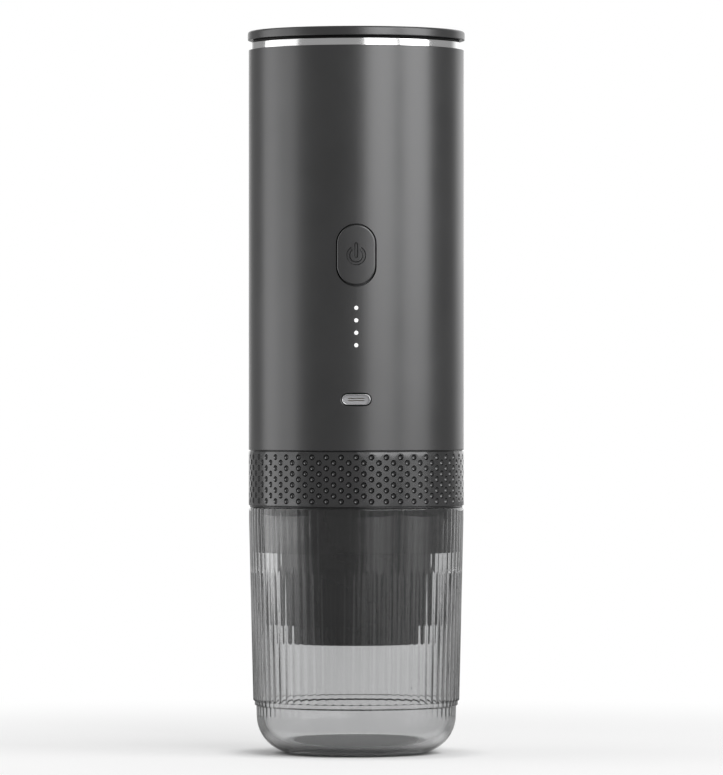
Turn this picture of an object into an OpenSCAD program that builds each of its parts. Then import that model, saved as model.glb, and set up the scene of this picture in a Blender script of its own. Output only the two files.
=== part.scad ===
// Portable coffee maker: a battery powered brewer that stands on its own clear cup.
// From the table up: fluted cup, brew unit with a dimpled grip, main body, screw lid.
// Sizes are in millimetres. +Z is up, the front with the button faces -Y,
// and the origin is the middle of the cup's foot.

/* [Overall] */
// Outer radius of the main body and of the grip sleeve
body_r = 34; // [32:0.5:40]
// Visible gap between the grip sleeve and the main body
seam = 0.3; // [0.2:0.1:1]
// Clearance between pieces that are assembled and stay put
fit_gap = 0.1; // [0.05:0.05:0.3]
// Clearance between pieces that slide or turn past each other
run_gap = 0.3; // [0.2:0.05:0.6]

/* [Cup] */
// Height of the cup
cup_h = 77.8; // [72:0.2:95]
// How far the cup's wall stands inside the body's radius
cup_inset = 0.1; // [0:0.1:1]
// Wall of the cup
cup_wall = 2.4; // [1.8:0.1:3]
// Thickness of the cup's floor
cup_floor = 4; // [2.5:0.1:6]
// Height of the ledge where the flutes end above the smooth bowl
ledge_h = 14.8; // [13:0.1:20]
// Slope of the ledge in degrees
ledge_slope = 60; // [25:1:65]
// How far the bowl steps in behind the bottom of the flutes
bowl_step = 0.5; // [0.3:0.05:1]
// Rounding at the foot of the bowl
bowl_fillet = 12; // [8:0.5:12.5]
// Number of flutes round the cup
flute_count = 72; // [60:1:84]
// Radius of the round tool that cuts a flute
flute_tool_r = 2.45; // [1.8:0.05:3]
// Width of the crest left between neighbouring flutes at their foot
flute_land = 0.25; // [0.2:0.01:0.5]
// Distance from the cup's rim to the pointed tips of the flutes
flute_drop = 4.4; // [2:0.1:12]
// Lean of the flutes in degrees, which makes them deeper towards the foot
flute_lean = 1.7; // [1:0.1:1.8]

/* [Grip sleeve] */
// Height of the dimpled sleeve
sleeve_h = 17.2; // [16.5:0.1:24]
// Wall of the sleeve
sleeve_wall = 1.9; // [1.4:0.1:2.4]
// Dimples in one row
dimple_columns = 45; // [40:1:50]
// Rows of dimples
dimple_rows = 9; // [5:1:9]
// Height from one row to the next
dimple_pitch = 1.72; // [1.5:0.02:1.8]
// Diameter of a dimple
dimple_d = 1.8; // [1.4:0.1:2]
// Depth of a dimple
dimple_depth = 0.7; // [0.2:0.05:0.8]

/* [Brew unit] */
// Thickness of the collar's flange on the cup's rim
flange_t = 0.5; // [0.4:0.1:1.5]
// How far the collar's flange stands inside the body's radius
flange_inset = 0.4; // [0.4:0.1:1.2]
// Depth of the collar's skirt in the cup
skirt_h = 14.3; // [10:0.1:18]
// Clearance between the foot of the skirt and the cup
skirt_gap = 0.8; // [0.5:0.1:1.5]
// Pads round the skirt that centre the cup
pad_count = 6; // [3:1:8]
// Width of a pad
pad_w = 2; // [1.5:0.1:4]
// Height of a pad
pad_h = 3.7; // [2.5:0.1:6]
// Turn of the first pad from the front in degrees
pad_turn = 3.5; // [0:0.5:59]
// Height of the basket holder below the collar
holder_h = 22.9; // [18:0.1:24]
// How far the basket holder steps in from the collar
holder_step = 5.2; // [4.5:0.1:6]
// Wall of the basket holder
holder_wall = 1.6; // [1.2:0.1:2.4]
// Floor of the basket holder
holder_floor = 3.8; // [2:0.1:5]
// Width of the holder's hanging flange
holder_flange_w = 1.3; // [1:0.1:1.8]
// Thickness of the holder's hanging flange
holder_flange_t = 2; // [1.5:0.1:2.5]
// Depth of the collar's socket down to the ledge for the holder
socket_depth = 15.9; // [15:0.1:17]
// Wall of the steel coffee basket, its filter disc and the shower screen
sheet_t = 0.6; // [0.4:0.05:1]
// Thickness of the basket's rim
basket_rim_t = 0.9; // [0.6:0.1:1.2]
// Space between the basket and the holder
basket_gap = 0.4; // [0.2:0.1:0.8]
// Space under the basket where coffee gathers
basket_lift = 1.5; // [1:0.1:4]
// Width of the lip that the filter disc lies on
disc_lip = 2; // [1.5:0.1:3]
// Diameter of the holes in the filter disc and the shower screen
sieve_d = 1.2; // [0.8:0.1:1.6]
// Distance between the rings of holes
sieve_pitch = 4.2; // [3.6:0.1:4.4]
// Rings of holes round the middle
sieve_rings = 4; // [2:1:4]
// Height of the outlet cap
outlet_h = 5.9; // [4:0.1:9]
// How far the outlet cap steps in from the holder
outlet_step = 3; // [2:0.1:4]
// Wall and floor of the outlet cap
outlet_wall = 2; // [1.4:0.1:2.6]
// Rounding of the outlet cap's lower edge
outlet_fillet = 1.4; // [0.6:0.1:1.8]
// Diameter of the coffee outlet
outlet_d = 5; // [3:0.5:8]
// Thickness of the brewing gasket
gasket_t = 1.6; // [1:0.1:2.4]
// Width of the brewing gasket
gasket_w = 3.1; // [2.6:0.1:3.4]

/* [Brew head] */
// Clearance left for the screw thread round the boss
thread_gap = 0.4; // [0.3:0.1:0.8]
// Thickness of the head's disc
head_t = 3.7; // [3.2:0.1:6]
// Width of the step that the housing stands on
step_w = 1; // [0.6:0.1:1.4]
// Height of the step that the housing stands on
step_h = 1.5; // [1:0.1:2.5]
// Depth of the water space behind the shower screen
shower_depth = 1.6; // [1:0.1:2.6]
// How far the shower screen is set into the boss
shower_set = 0.2; // [0.1:0.1:0.8]
// Diameter of the water channels
channel_d = 3; // [2:0.2:3.2]
// Radius of the pocket that lightens the head
pocket_r = 15; // [12:0.5:16]
// Depth of the pocket from the head's top
pocket_depth = 8; // [4:0.5:8.5]

/* [Housing] */
// Wall of the housing
housing_wall = 2; // [1.6:0.1:2.4]
// Height of the housing
housing_h = 126.3; // [122:0.1:150]
// Height of the steel band on top
rim_h = 2.3; // [1.5:0.1:5]
// How far the steel band stands inside the body's radius
rim_inset = 0.6; // [0.3:0.1:1]
// Depth of the steel band's spigot in the housing
rim_spigot = 2.1; // [1.5:0.1:4]
// Wall of the steel band's spigot
rim_wall = 1.6; // [1.2:0.1:2]

/* [Tank] */
// Wall of the sleeve that carries the tank
tank_sleeve_wall = 1.5; // [1:0.1:2]
// Space between the tank and its sleeve
tank_gap = 0.6; // [0.4:0.1:1.5]
// Wall of the steel tank
tank_wall = 0.6; // [0.4:0.1:1]
// Rounding at the tank's floor
tank_fillet = 4; // [2:0.5:5]
// Thickness of the seal on the tank's flange
tank_seal_t = 0.5; // [0.4:0.1:1.2]
// How far the heater plate stands inside the tank's radius
heater_inset = 3.7; // [2:0.1:4.7]
// Thickness of the heater plate
heater_t = 2.4; // [1.6:0.1:4]
// Radius of the ring that the heating rod follows
rod_ring_r = 15; // [12:0.5:16]
// Radius of the heating rod
rod_r = 2; // [1.5:0.1:2.4]
// How deep the rod's flat is pressed
rod_flat = 0.6; // [0.3:0.1:0.9]
// Open angle of the heating ring
rod_open = 70; // [40:5:120]
// Radius of the temperature probe
probe_r = 2; // [1:0.1:3]
// Length of the temperature probe
probe_h = 3; // [2:0.1:3.6]

/* [Inner frame] */
// Thickness of the frame's decks
deck_t = 2.5; // [1.8:0.1:4]
// Gap between the frame and the housing
frame_gap = 0.4; // [0.2:0.1:0.8]
// Radius of the frame's posts
post_r = 2.4; // [2.2:0.1:2.6]
// Angle of the front posts below the X axis
front_post_angle = 14; // [10:1:18]
// Radius of a battery cell
cell_r = 9.2; // [8.8:0.1:9.4]
// Length of a battery cell
cell_h = 65; // [60:0.5:70]
// Gap between neighbouring cells
cell_gap = 0.5; // [0.3:0.1:1]
// Gap between the cells and the edge of the decks
cell_edge = 1.9; // [1.2:0.1:2.4]
// Height of the rings that hold the cells
cell_ring_h = 4; // [2:0.5:8]
// Wall of the rings that hold the cells
cell_ring_wall = 1; // [0.8:0.1:1.4]
// Thickness of the nickel strips
strip_t = 0.3; // [0.2:0.05:0.5]
// Width of the nickel strips
strip_w = 6; // [4:0.5:7]
// Radius of the pads where the strips are welded to the cells
weld_r = 4; // [3.6:0.1:6]

/* [Pump] */
// Radius of the pump head and its damper
pump_r = 12.5; // [11:0.5:13]
// Height of the soft damper under the pump
damper_h = 2; // [1.5:0.1:4]
// Height of the pump head
pump_h = 22; // [18:0.5:26]
// Radius of the motor
motor_r = 12; // [10:0.5:12.5]
// Height of the motor
motor_h = 32; // [26:0.5:36]
// Gap between the pump and the control board
pump_board_gap = 3.5; // [2:0.1:4.5]
// Outer radius of the hoses
hose_r = 3.2; // [2.8:0.1:3.4]
// Wall of the hoses
hose_wall = 0.9; // [0.6:0.1:1.1]
// Bend radius of the hoses
hose_bend = 5; // [4.5:0.1:5.5]
// Length of the pump's hose stubs
stub_h = 2.8; // [2:0.1:3.4]
// Height of the hose stubs above the pump's foot
stub_z = 14; // [10:0.5:15]

/* [Controls] */
// Width of the button's opening
button_w = 12.6; // [9:0.1:15]
// Height of the button's opening
button_h = 19.3; // [16:0.1:24]
// Height of the button's middle above the housing's foot
button_z = 61; // [58:0.2:62]
// How far the button stands out
button_proud = 0.6; // [0.2:0.1:1.2]
// Radius of the button's gently curved face
button_face_r = 62; // [45:1:90]
// Travel of the button
button_travel = 0.8; // [0.4:0.1:0.9]
// How far the button's flange reaches past the opening
button_flange = 0.9; // [0.6:0.1:1.4]
// Thickness of the button's flange
button_flange_t = 0.8; // [0.6:0.1:0.9]
// Distance from the housing's bore to the control board
board_set = 5.7; // [5.5:0.1:6.2]
// Width of the control board
board_w = 26; // [22:0.5:27]
// Thickness of the control board
board_t = 1.6; // [1:0.2:2]
// Wall of the rails that hold the control board
rail_wall = 1.2; // [1:0.1:1.5]
// Overlap of the rails on the control board
rail_lap = 1.2; // [0.8:0.1:2]
// Width of the push switch
switch_w = 6; // [5:0.5:8]
// Height of the push switch off the board
switch_h = 3.4; // [3:0.1:3.6]
// Radius of the switch plunger
plunger_r = 1.7; // [1.2:0.1:2]
// Height of the top light above the housing's foot
led_z = 44.5; // [40:0.2:46]
// Distance between the lights
led_pitch = 3.87; // [3:0.01:4.5]
// Number of lights
led_count = 4; // [2:1:5]
// Diameter of a light dot
led_d = 1.1; // [1:0.1:2]
// Depth of the bar behind the dots
guide_t = 3; // [2:0.1:3.6]
// Width of the bar behind the dots
guide_w = 4; // [3:0.1:6]
// Height of the charging port's middle above the housing's foot
port_z = 16; // [14:0.2:18]
// Width of the charging port
port_w = 8.94; // [8.94:0.01:9.2]
// Height of the charging port
port_h = 3.26; // [3.26:0.01:3.4]
// Wall of the charging port's shell
port_wall = 0.3; // [0.2:0.05:0.4]
// How far the charging port is set into the housing
port_set = 0.4; // [0.2:0.1:1]
// Thickness of the charging port's tongue
tongue_t = 0.7; // [0.6:0.05:0.8]

/* [Lid] */
// How far the lid stands past the body's radius
lid_over = 0.3; // [0:0.1:1.5]
// Thickness of the lid's disc
lid_t = 2.8; // [2.4:0.1:8]
// Rounding of the lid's upper edge
lid_fillet = 0.8; // [0.4:0.1:1.4]
// Thickness of the lid's seal
lid_seal_t = 0.8; // [0.5:0.1:1.5]
// How far the lid's seal stands inside the body's radius
lid_seal_inset = 1.4; // [1:0.1:2]
// Depth of the lid's plug in the tank
plug_h = 12.4; // [9:0.1:16]
// Clearance left for the screw thread round the plug
plug_gap = 1.3; // [1:0.1:1.8]
// Wall of the plug
plug_wall = 2; // [1.6:0.1:3]
// Thickness of the disc that closes the plug
liner_t = 1.5; // [1:0.1:2.5]
// Height of the hollow left in the lid's disc
lid_hollow = 0.8; // [0.4:0.1:1.2]

/* [Screws] */
// Radius of the screws' shanks
screw_r = 1.1; // [0.9:0.05:1.2]
// Radius of the screws' heads
screw_head_r = 2.1; // [1.8:0.1:2.2]
// Height of the screws' heads
screw_head_h = 1.6; // [1:0.1:1.8]
// Depth of a screw in its post
screw_grip = 6; // [4:0.5:10]

/* [Hidden] */
$fn = 96;
eps = 1;

// Levels, from the table up
z_flange0 = cup_h;
z_flange1 = z_flange0 + flange_t;
z_sleeve1 = z_flange1 + sleeve_h;
z_split = z_sleeve1 + seam / 2;
z_house0 = z_sleeve1 + seam;
z_house1 = z_house0 + housing_h;
z_rim1 = z_house1 + rim_h;
z_lid0 = z_rim1 + lid_seal_t;
z_lid1 = z_lid0 + lid_t;
z_skirt0 = z_flange0 - skirt_h;
z_holder0 = z_skirt0 - holder_h;
z_outlet0 = z_holder0 - outlet_h;
z_ledge = z_split - socket_depth;
z_basket_rim0 = z_ledge + holder_flange_t;
z_gasket0 = z_basket_rim0 + basket_rim_t;
z_boss0 = z_gasket0 + gasket_t;
z_basket0 = z_holder0 + holder_floor + basket_lift;
z_shower0 = z_boss0 + shower_set;
z_shower1 = z_shower0 + sheet_t;
z_water1 = z_shower1 + shower_depth;
z_step = z_house0 + step_h;
z_deck_a0 = z_split + head_t;
z_deck_a1 = z_deck_a0 + deck_t;
z_cell0 = z_deck_a1 + strip_t;
z_cell1 = z_cell0 + cell_h;
z_deck_b0 = z_cell1 + strip_t;
z_deck_b1 = z_deck_b0 + deck_t;
z_heater0 = z_deck_b1 + 2 * rod_r - rod_flat + run_gap;
z_tank0 = z_heater0 + heater_t;
z_rim_spigot0 = z_house1 - rim_spigot;
z_tank1 = z_rim_spigot0 - tank_seal_t;
z_tank_flange0 = z_tank1 - tank_wall;
z_damper1 = z_deck_a1 + damper_h;
z_pump1 = z_damper1 + pump_h;
z_motor1 = z_pump1 + motor_h;
z_stub = z_damper1 + stub_z;
z_plug0 = z_lid0 - plug_h;
z_button = z_house0 + button_z;
z_led = z_house0 + led_z;
z_port = z_house0 + port_z;

// Radii
cup_r = body_r - cup_inset;
cup_bore_r = cup_r - cup_wall;
flute_slope = tan(flute_lean);
z_flute1 = cup_h - flute_drop;
flute_w = 2 * PI * cup_r / flute_count - flute_land;
flute_deep = pow(flute_w / 2, 2) / 2 * (1 / flute_tool_r + 1 / cup_r);
bowl_r = cup_r - (z_flute1 - ledge_h) * flute_slope - bowl_step;
ledge_w = (bowl_step + flute_deep) / (1 - flute_slope * tan(ledge_slope));
ledge_r = bowl_r + ledge_w;
z_ledge1 = ledge_h + ledge_w * tan(ledge_slope);
bowl_bore_r = bowl_r - cup_wall;
bowl_bore_fillet = bowl_fillet - cup_wall;
z_bowl_bore = cup_floor + bowl_bore_fillet;
cup_taper = (cup_bore_r - bowl_bore_r) / (cup_h - z_bowl_bore);
function cup_bore_at(z) = bowl_bore_r + cup_taper * (z - z_bowl_bore);
sleeve_bore_r = body_r - sleeve_wall;
barrel_r = sleeve_bore_r - fit_gap;
collar_r = cup_bore_at(z_skirt0) - skirt_gap;
pad_r = cup_bore_at(z_flange0 - pad_h) - run_gap;
holder_r = collar_r - holder_step;
holder_bore_r = holder_r - holder_wall;
holder_flange_r = holder_r + holder_flange_w;
socket_r = holder_flange_r + run_gap;
boss_r = socket_r - thread_gap;
basket_r = holder_bore_r - basket_gap;
basket_bore_r = basket_r - sheet_t;
gasket_r = holder_flange_r - basket_gap;
gasket_bore_r = gasket_r - gasket_w;
shower_bore_r = gasket_bore_r - basket_gap;
outlet_r = holder_r - outlet_step;
house_bore_r = body_r - housing_wall;
frame_r = house_bore_r - frame_gap;
tank_sleeve_r = house_bore_r - 2 * fit_gap;
tank_sleeve_bore_r = tank_sleeve_r - tank_sleeve_wall;
tank_r = tank_sleeve_bore_r - tank_gap;
tank_bore_r = tank_r - tank_wall;
heater_r = tank_r - heater_inset;
rim_bore_r = tank_sleeve_r - rim_wall;
plug_r = rim_bore_r - plug_gap;
plug_bore_r = plug_r - plug_wall;
lid_r = body_r + lid_over;
lid_seal_r = body_r - lid_seal_inset;

// Places of the inner pieces
cell_ring_r = frame_r - cell_edge - cell_r;
cell_step = 2 * asin((2 * cell_r + cell_gap) / (2 * cell_ring_r));
cell_angles = [90 - cell_step, 90, 90 + cell_step];
post_ring_r = frame_r - post_r - fit_gap;
post_angles = [-front_post_angle, 180 + front_post_angle, 90 - cell_step / 2, 90 + cell_step / 2];
board_y = -(house_bore_r - board_set);
board_back_y = board_y + board_t;
pump_y = board_back_y + pump_board_gap + pump_r;
hose_x = pump_r + stub_h + hose_bend;
hose_bore_r = hose_r - hose_wall;
stub_r = hose_bore_r - fit_gap;
hose_hole_r = hose_r + run_gap;
dimple_r = (pow(dimple_d / 2, 2) + pow(dimple_depth, 2)) / (2 * dimple_depth);
switch_face_y = board_y - switch_h;
flange_face_r = house_bore_r - run_gap;
flange_back_r = flange_face_r - button_flange_t;
button_flange_w = button_w + 2 * button_flange;
button_flange_h = button_h + 2 * button_flange;
plunger_tip_y = -sqrt(pow(flange_back_r, 2) - pow(plunger_r, 2));

// Shared shapes

// A plain disc between two levels
module disc(r, z0, z1) {
    translate([0, 0, z0])
        cylinder(r = r, h = z1 - z0);
}

// A flat ring or a tube between two levels
module ring(r, bore, z0, z1) {
    difference() {
        disc(r, z0, z1);
        disc(bore, z0 - eps, z1 + eps);
    }
}

// An upright post at a polar place
module at_polar(r, angle) {
    translate([r * cos(angle), r * sin(angle), 0])
        children();
}

// An upright outline with round ends, w wide and h high
module stadium(w, h) {
    straight = abs(h - w);
    side = min(w, h);
    square(h > w ? [w, straight] : [straight, h], center = true);
    for (s = [-1, 1])
        translate(h > w ? [0, s * straight / 2] : [s * straight / 2, 0])
            circle(d = side);
}

// A stadium standing across the front, from y0 (outer) to y1 (inner), at height z
module front_stadium(w, h, y0, y1, z) {
    translate([0, y1, z])
        rotate([90, 0, 0])
            linear_extrude(y1 - y0)
                stadium(w, h);
}

// A round pin across the front, from y0 (outer) to y1 (inner), at height z
module front_pin(r, y0, y1, z) {
    translate([0, y1, z])
        rotate([90, 0, 0])
            cylinder(r = r, h = y1 - y0);
}

// Half outline of a round body whose lower edge is rounded
module rounded_foot(r, h, fillet) {
    square([r - fillet, h]);
    translate([0, fillet])
        square([r, h - fillet]);
    translate([r - fillet, fillet])
        intersection() {
            circle(r = fillet);
            translate([0, -fillet])
                square(fillet);
        }
}

// Rings of small holes, as cutters between two levels
module sieve_holes(z0, z1) {
    for (k = [1 : sieve_rings])
        for (j = [0 : 6 * k - 1])
            at_polar(k * sieve_pitch, j * 60 / k)
                disc(sieve_d / 2, z0 - eps, z1 + eps);
}

// Cup

// The wall is upright down to where the flutes meet, then leans in with them to the ledge
module cup_outline() {
    rounded_foot(bowl_r, ledge_h, bowl_fillet);
    polygon([[0, ledge_h - eps], [bowl_r, ledge_h - eps], [bowl_r, ledge_h], [ledge_r, z_ledge1],
        [cup_r, z_flute1], [cup_r, cup_h], [0, cup_h]]);
}

module cup_bore_outline() {
    translate([0, cup_floor])
        rounded_foot(bowl_bore_r, bowl_bore_fillet + eps, bowl_bore_fillet);
    polygon([[0, z_bowl_bore], [bowl_bore_r, z_bowl_bore],
        [cup_bore_at(cup_h + eps), cup_h + eps], [0, cup_h + eps]]);
}

// One round cutter that touches the wall at the flute's tip and sinks in towards the foot
module flute_tool() {
    translate([cup_r + flute_tool_r, 0, z_flute1])
        rotate([0, 180 + flute_lean, 0])
            translate([0, 0, -eps])
                cylinder(r = flute_tool_r, h = z_flute1 - ledge_h + 2 * eps);
}

module cup() {
    color([0.55, 0.56, 0.57, 0.45])
    difference() {
        rotate_extrude()
            difference() {
                cup_outline();
                cup_bore_outline();
            }
        for (i = [0 : flute_count - 1])
            rotate([0, 0, i * 360 / flute_count])
                flute_tool();
    }
}

// Brew unit

// The sleeve's outside is one narrow flat for each column, so every dimple has a round edge
module grip_sleeve() {
    flats = 2 * dimple_columns;
    flat_r = body_r * cos(180 / flats);
    row0 = z_flange1 + sleeve_h / 2 - (dimple_rows - 1) / 2 * dimple_pitch;
    color([0.27, 0.27, 0.28])
    difference() {
        translate([0, 0, z_flange1])
            linear_extrude(sleeve_h)
                polygon([for (i = [0 : flats - 1])
                    body_r * [cos((i + 0.5) * 360 / flats), sin((i + 0.5) * 360 / flats)]]);
        disc(sleeve_bore_r, z_flange1 - eps, z_sleeve1 + eps);
        for (i = [0 : dimple_rows - 1])
            for (j = [0 : dimple_columns - 1])
                rotate([0, 0, -90 + (2 * j + i % 2) * 360 / flats])
                    translate([flat_r + dimple_r - dimple_depth, 0, row0 + i * dimple_pitch])
                        sphere(r = dimple_r, $fn = 32);
    }
}

module collar_pad() {
    round_r = pad_w / 2;
    translate([collar_r - 1, 0, z_flange0 - pad_h + round_r]) {
        translate([0, -round_r, 0])
            cube([pad_r - collar_r + 1, pad_w, pad_h - round_r]);
        rotate([0, 90, 0])
            cylinder(r = round_r, h = pad_r - collar_r + 1);
    }
}

module brew_collar() {
    color([0.16, 0.16, 0.17])
    difference() {
        union() {
            disc(collar_r, z_skirt0, z_flange0 + flange_t / 2);
            disc(body_r - flange_inset, z_flange0, z_flange1);
            disc(barrel_r, z_flange0 + flange_t / 2, z_split);
            for (i = [0 : pad_count - 1])
                rotate([0, 0, -90 + pad_turn + i * 360 / pad_count])
                    collar_pad();
        }
        disc(holder_r + run_gap, z_skirt0 - eps, z_ledge + eps);
        disc(socket_r, z_ledge, z_split + eps);
    }
}

module basket_holder() {
    drain_r = outlet_d / 2;
    color([0.13, 0.13, 0.14])
    difference() {
        union() {
            disc(holder_r, z_holder0, z_ledge + eps);
            disc(holder_flange_r, z_ledge, z_basket_rim0);
        }
        disc(holder_bore_r, z_holder0 + holder_floor, z_basket_rim0 + eps);
        for (i = [0 : 5])
            at_polar(holder_bore_r / 2, i * 60)
                disc(drain_r, z_holder0 - eps, z_holder0 + holder_floor + eps);
    }
}

module coffee_basket() {
    color([0.75, 0.75, 0.76])
    difference() {
        union() {
            disc(basket_r, z_basket0, z_gasket0 - basket_rim_t / 2);
            disc(gasket_r, z_basket_rim0, z_gasket0);
        }
        disc(basket_bore_r, z_basket0 + sheet_t, z_gasket0 + eps);
        disc(basket_bore_r - disc_lip, z_basket0 - eps, z_basket0 + 2 * sheet_t);
    }
}

module filter_disc() {
    z0 = z_basket0 + sheet_t;
    color([0.8, 0.8, 0.81])
    difference() {
        disc(basket_bore_r - fit_gap, z0, z0 + sheet_t);
        disc(sieve_d / 2, z0 - eps, z0 + sheet_t + eps);
        sieve_holes(z0, z0 + sheet_t);
    }
}

module outlet_cap() {
    color([0.12, 0.12, 0.13])
    translate([0, 0, z_outlet0])
        rotate_extrude()
            difference() {
                rounded_foot(outlet_r, outlet_h, outlet_fillet);
                translate([0, outlet_wall])
                    square([outlet_r - outlet_wall, outlet_h]);
                square([outlet_d / 2, outlet_h]);
            }
}

module group_seal() {
    color([0.35, 0.12, 0.1])
    ring(gasket_r, gasket_bore_r, z_gasket0, z_boss0);
}

// Brew head, the lower end of the main body

module head_screw_places() {
    for (a = post_angles)
        at_polar(post_ring_r, a)
            children();
}

module brew_head() {
    pillar_r = 2 * screw_head_r;
    water_x = -hose_x;
    color([0.17, 0.17, 0.18])
    difference() {
        union() {
            disc(boss_r, z_boss0, z_split + eps);
            disc(house_bore_r + step_w - fit_gap, z_split, z_step);
            disc(house_bore_r - fit_gap, z_step - eps / 2, z_deck_a0);
            translate([water_x, pump_y, 0])
                disc(stub_r, z_deck_a0 - eps, z_damper1 + hose_r);
        }
        disc(shower_bore_r, z_boss0 - eps, z_shower1);
        ring(shower_bore_r, pillar_r, z_shower1 - eps / 2, z_water1);
        ring(pocket_r, pillar_r, z_deck_a0 - pocket_depth, z_deck_a0 + eps);
        disc(screw_r, z_boss0, z_water1 + screw_grip / 2 + fit_gap);
        translate([water_x, pump_y, 0])
            disc(channel_d / 2, z_water1 - eps / 2, z_damper1 + hose_r + eps);
        head_screw_places()
            disc(screw_r + fit_gap, z_split - eps, z_deck_a0 + eps);
        head_screw_places()
            disc(screw_head_r + fit_gap, z_split - eps, z_split + screw_head_h + fit_gap);
    }
}

module shower_screen() {
    color([0.78, 0.78, 0.79])
    difference() {
        disc(shower_bore_r - fit_gap, z_shower0, z_shower1);
        disc(screw_r + fit_gap, z_shower0 - eps, z_shower1 + eps);
        sieve_holes(z_shower0, z_shower1);
    }
}

module screen_screw() {
    color([0.7, 0.7, 0.72]) {
        disc(screw_r - fit_gap / 2, z_shower0 - fit_gap, z_water1 + screw_grip / 2);
        disc(screw_head_r, z_shower0 - screw_head_h, z_shower0);
    }
}

module head_screws() {
    color([0.6, 0.6, 0.62])
    head_screw_places() {
        disc(screw_r, z_split + fit_gap, z_deck_a1 + screw_grip);
        disc(screw_head_r, z_split + fit_gap, z_split + screw_head_h);
    }
}

// Inner frame and battery

module cell_places() {
    for (a = cell_angles)
        at_polar(cell_ring_r, a)
            children();
}

// A rail beside the board: s is 1 on the right and -1 on the left
module board_rail(s) {
    inner_x = board_w / 2 - rail_lap;
    outer_x = board_w / 2 + fit_gap + rail_wall;
    low_y = board_y - fit_gap - rail_wall;
    high_y = board_back_y + fit_gap + rail_wall;
    difference() {
        translate([s > 0 ? inner_x : -outer_x, low_y, z_deck_a0])
            cube([outer_x - inner_x, high_y - low_y, z_deck_b1 - z_deck_a0]);
        translate([-board_w / 2 - fit_gap, board_y - fit_gap, z_deck_a1])
            cube([board_w + 2 * fit_gap, board_t + 2 * fit_gap, z_deck_b0 - z_deck_a1]);
    }
}

// A bar from the middle of one cell to the middle of the next, between two levels
module cell_bar(a, b, w, z0, z1) {
    middle = (a + b) / 2;
    chord = 2 * cell_ring_r * sin(abs(b - a) / 2);
    at_polar(cell_ring_r * cos((b - a) / 2), middle)
        rotate([0, 0, middle + 90])
            translate([-chord / 2, -w / 2, z0])
                cube([chord, w, z1 - z0]);
}

// Room for a strip in the wall between two cells
module strip_slot(a, b, z0, z1) {
    cell_bar(a, b, strip_w + 2 * fit_gap, z0, z1);
}

module battery_frame() {
    color([0.85, 0.85, 0.83])
    difference() {
        union() {
            disc(frame_r, z_deck_a0, z_deck_a1);
            disc(frame_r, z_deck_b0, z_deck_b1);
            head_screw_places()
                disc(post_r, z_deck_a1 - eps, z_deck_b0 + eps);
            for (s = [-1, 1])
                board_rail(s);
            cell_places()
                disc(cell_r + fit_gap + cell_ring_wall, z_deck_a1 - eps, z_cell0 + cell_ring_h);
            cell_places()
                disc(cell_r + fit_gap + cell_ring_wall, z_cell1 - cell_ring_h, z_deck_b0 + eps);
        }
        cell_places()
            disc(cell_r + fit_gap, z_deck_a1, z_deck_b0);
        head_screw_places()
            disc(screw_r + fit_gap, z_deck_a0 - eps, z_deck_a1 + screw_grip + eps);
        translate([-hose_x, pump_y, 0])
            disc(hose_hole_r, z_deck_a0 - eps, z_deck_a1 + eps);
        translate([hose_x, pump_y, 0])
            disc(hose_hole_r, z_deck_b0 - eps, z_deck_b1 + eps);
        strip_slot(cell_angles[0], cell_angles[1], z_deck_a1, z_cell0 + fit_gap);
        strip_slot(cell_angles[1], cell_angles[2], z_cell1 - fit_gap, z_deck_b0);
        front_stadium(button_flange_w + 2 * run_gap, button_flange_h + 2 * run_gap, -body_r,
            button_travel + run_gap - flange_back_r, z_button);
    }
}

module battery_cells() {
    color([0.2, 0.45, 0.7])
    cell_places()
        disc(cell_r, z_cell0, z_cell1);
}

// A strip over two neighbouring cells, between two levels
module cell_strip(a, b, z0, z1) {
    cell_bar(a, b, strip_w, z0, z1);
    for (angle = [a, b])
        at_polar(cell_ring_r, angle)
            disc(weld_r, z0, z1);
}

module cell_tabs() {
    color([0.8, 0.79, 0.75]) {
        cell_strip(cell_angles[0], cell_angles[1], z_deck_a1, z_cell0);
        at_polar(cell_ring_r, cell_angles[2])
            disc(weld_r, z_deck_a1, z_cell0);
        cell_strip(cell_angles[1], cell_angles[2], z_cell1, z_deck_b0);
        at_polar(cell_ring_r, cell_angles[0])
            disc(weld_r, z_cell1, z_deck_b0);
    }
}

// Pump and hoses

module pump_damper() {
    color([0.2, 0.2, 0.2])
    translate([0, pump_y, 0])
        ring(pump_r, pump_r / 2, z_deck_a1, z_damper1);
}

module pump_head() {
    color([0.9, 0.9, 0.88])
    translate([0, pump_y, 0])
        difference() {
            union() {
                disc(pump_r, z_damper1, z_pump1);
                for (s = [-1, 1])
                    translate([0, 0, z_stub])
                        rotate([0, s * 90, 0])
                            cylinder(r = stub_r, h = pump_r + stub_h);
            }
            for (s = [-1, 1])
                translate([0, 0, z_stub])
                    rotate([0, s * 90, 0])
                        translate([0, 0, pump_r])
                            cylinder(r = channel_d / 2, h = stub_h + eps);
        }
}

module pump_motor() {
    color([0.68, 0.68, 0.7])
    translate([0, pump_y, 0]) {
        disc(motor_r, z_pump1, z_motor1);
        disc(motor_r / 3, z_motor1 - eps, z_motor1 + 2);
    }
}

// A rod from the pump's side through a quarter bend to an upright run of the given length.
// It starts and ends past the hose by the amount over.
module hose_path(r, run, over) {
    lap = stub_h - run_gap;
    translate([pump_r + run_gap - over, 0, 0])
        rotate([0, 90, 0])
            cylinder(r = r, h = lap + over);
    translate([pump_r + stub_h, 0, hose_bend])
        rotate([90, 0, 0])
            rotate_extrude(angle = -90)
                translate([hose_bend, 0])
                    circle(r = r);
    translate([hose_x, 0, hose_bend])
        cylinder(r = r, h = run + over);
}

module hose(run) {
    difference() {
        hose_path(hose_r, run, 0);
        hose_path(hose_bore_r, run, eps);
    }
}

module inlet_tube() {
    color([0.9, 0.9, 0.92, 0.8])
    translate([0, pump_y, z_stub])
        hose(z_heater0 - run_gap - z_stub - hose_bend);
}

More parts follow.
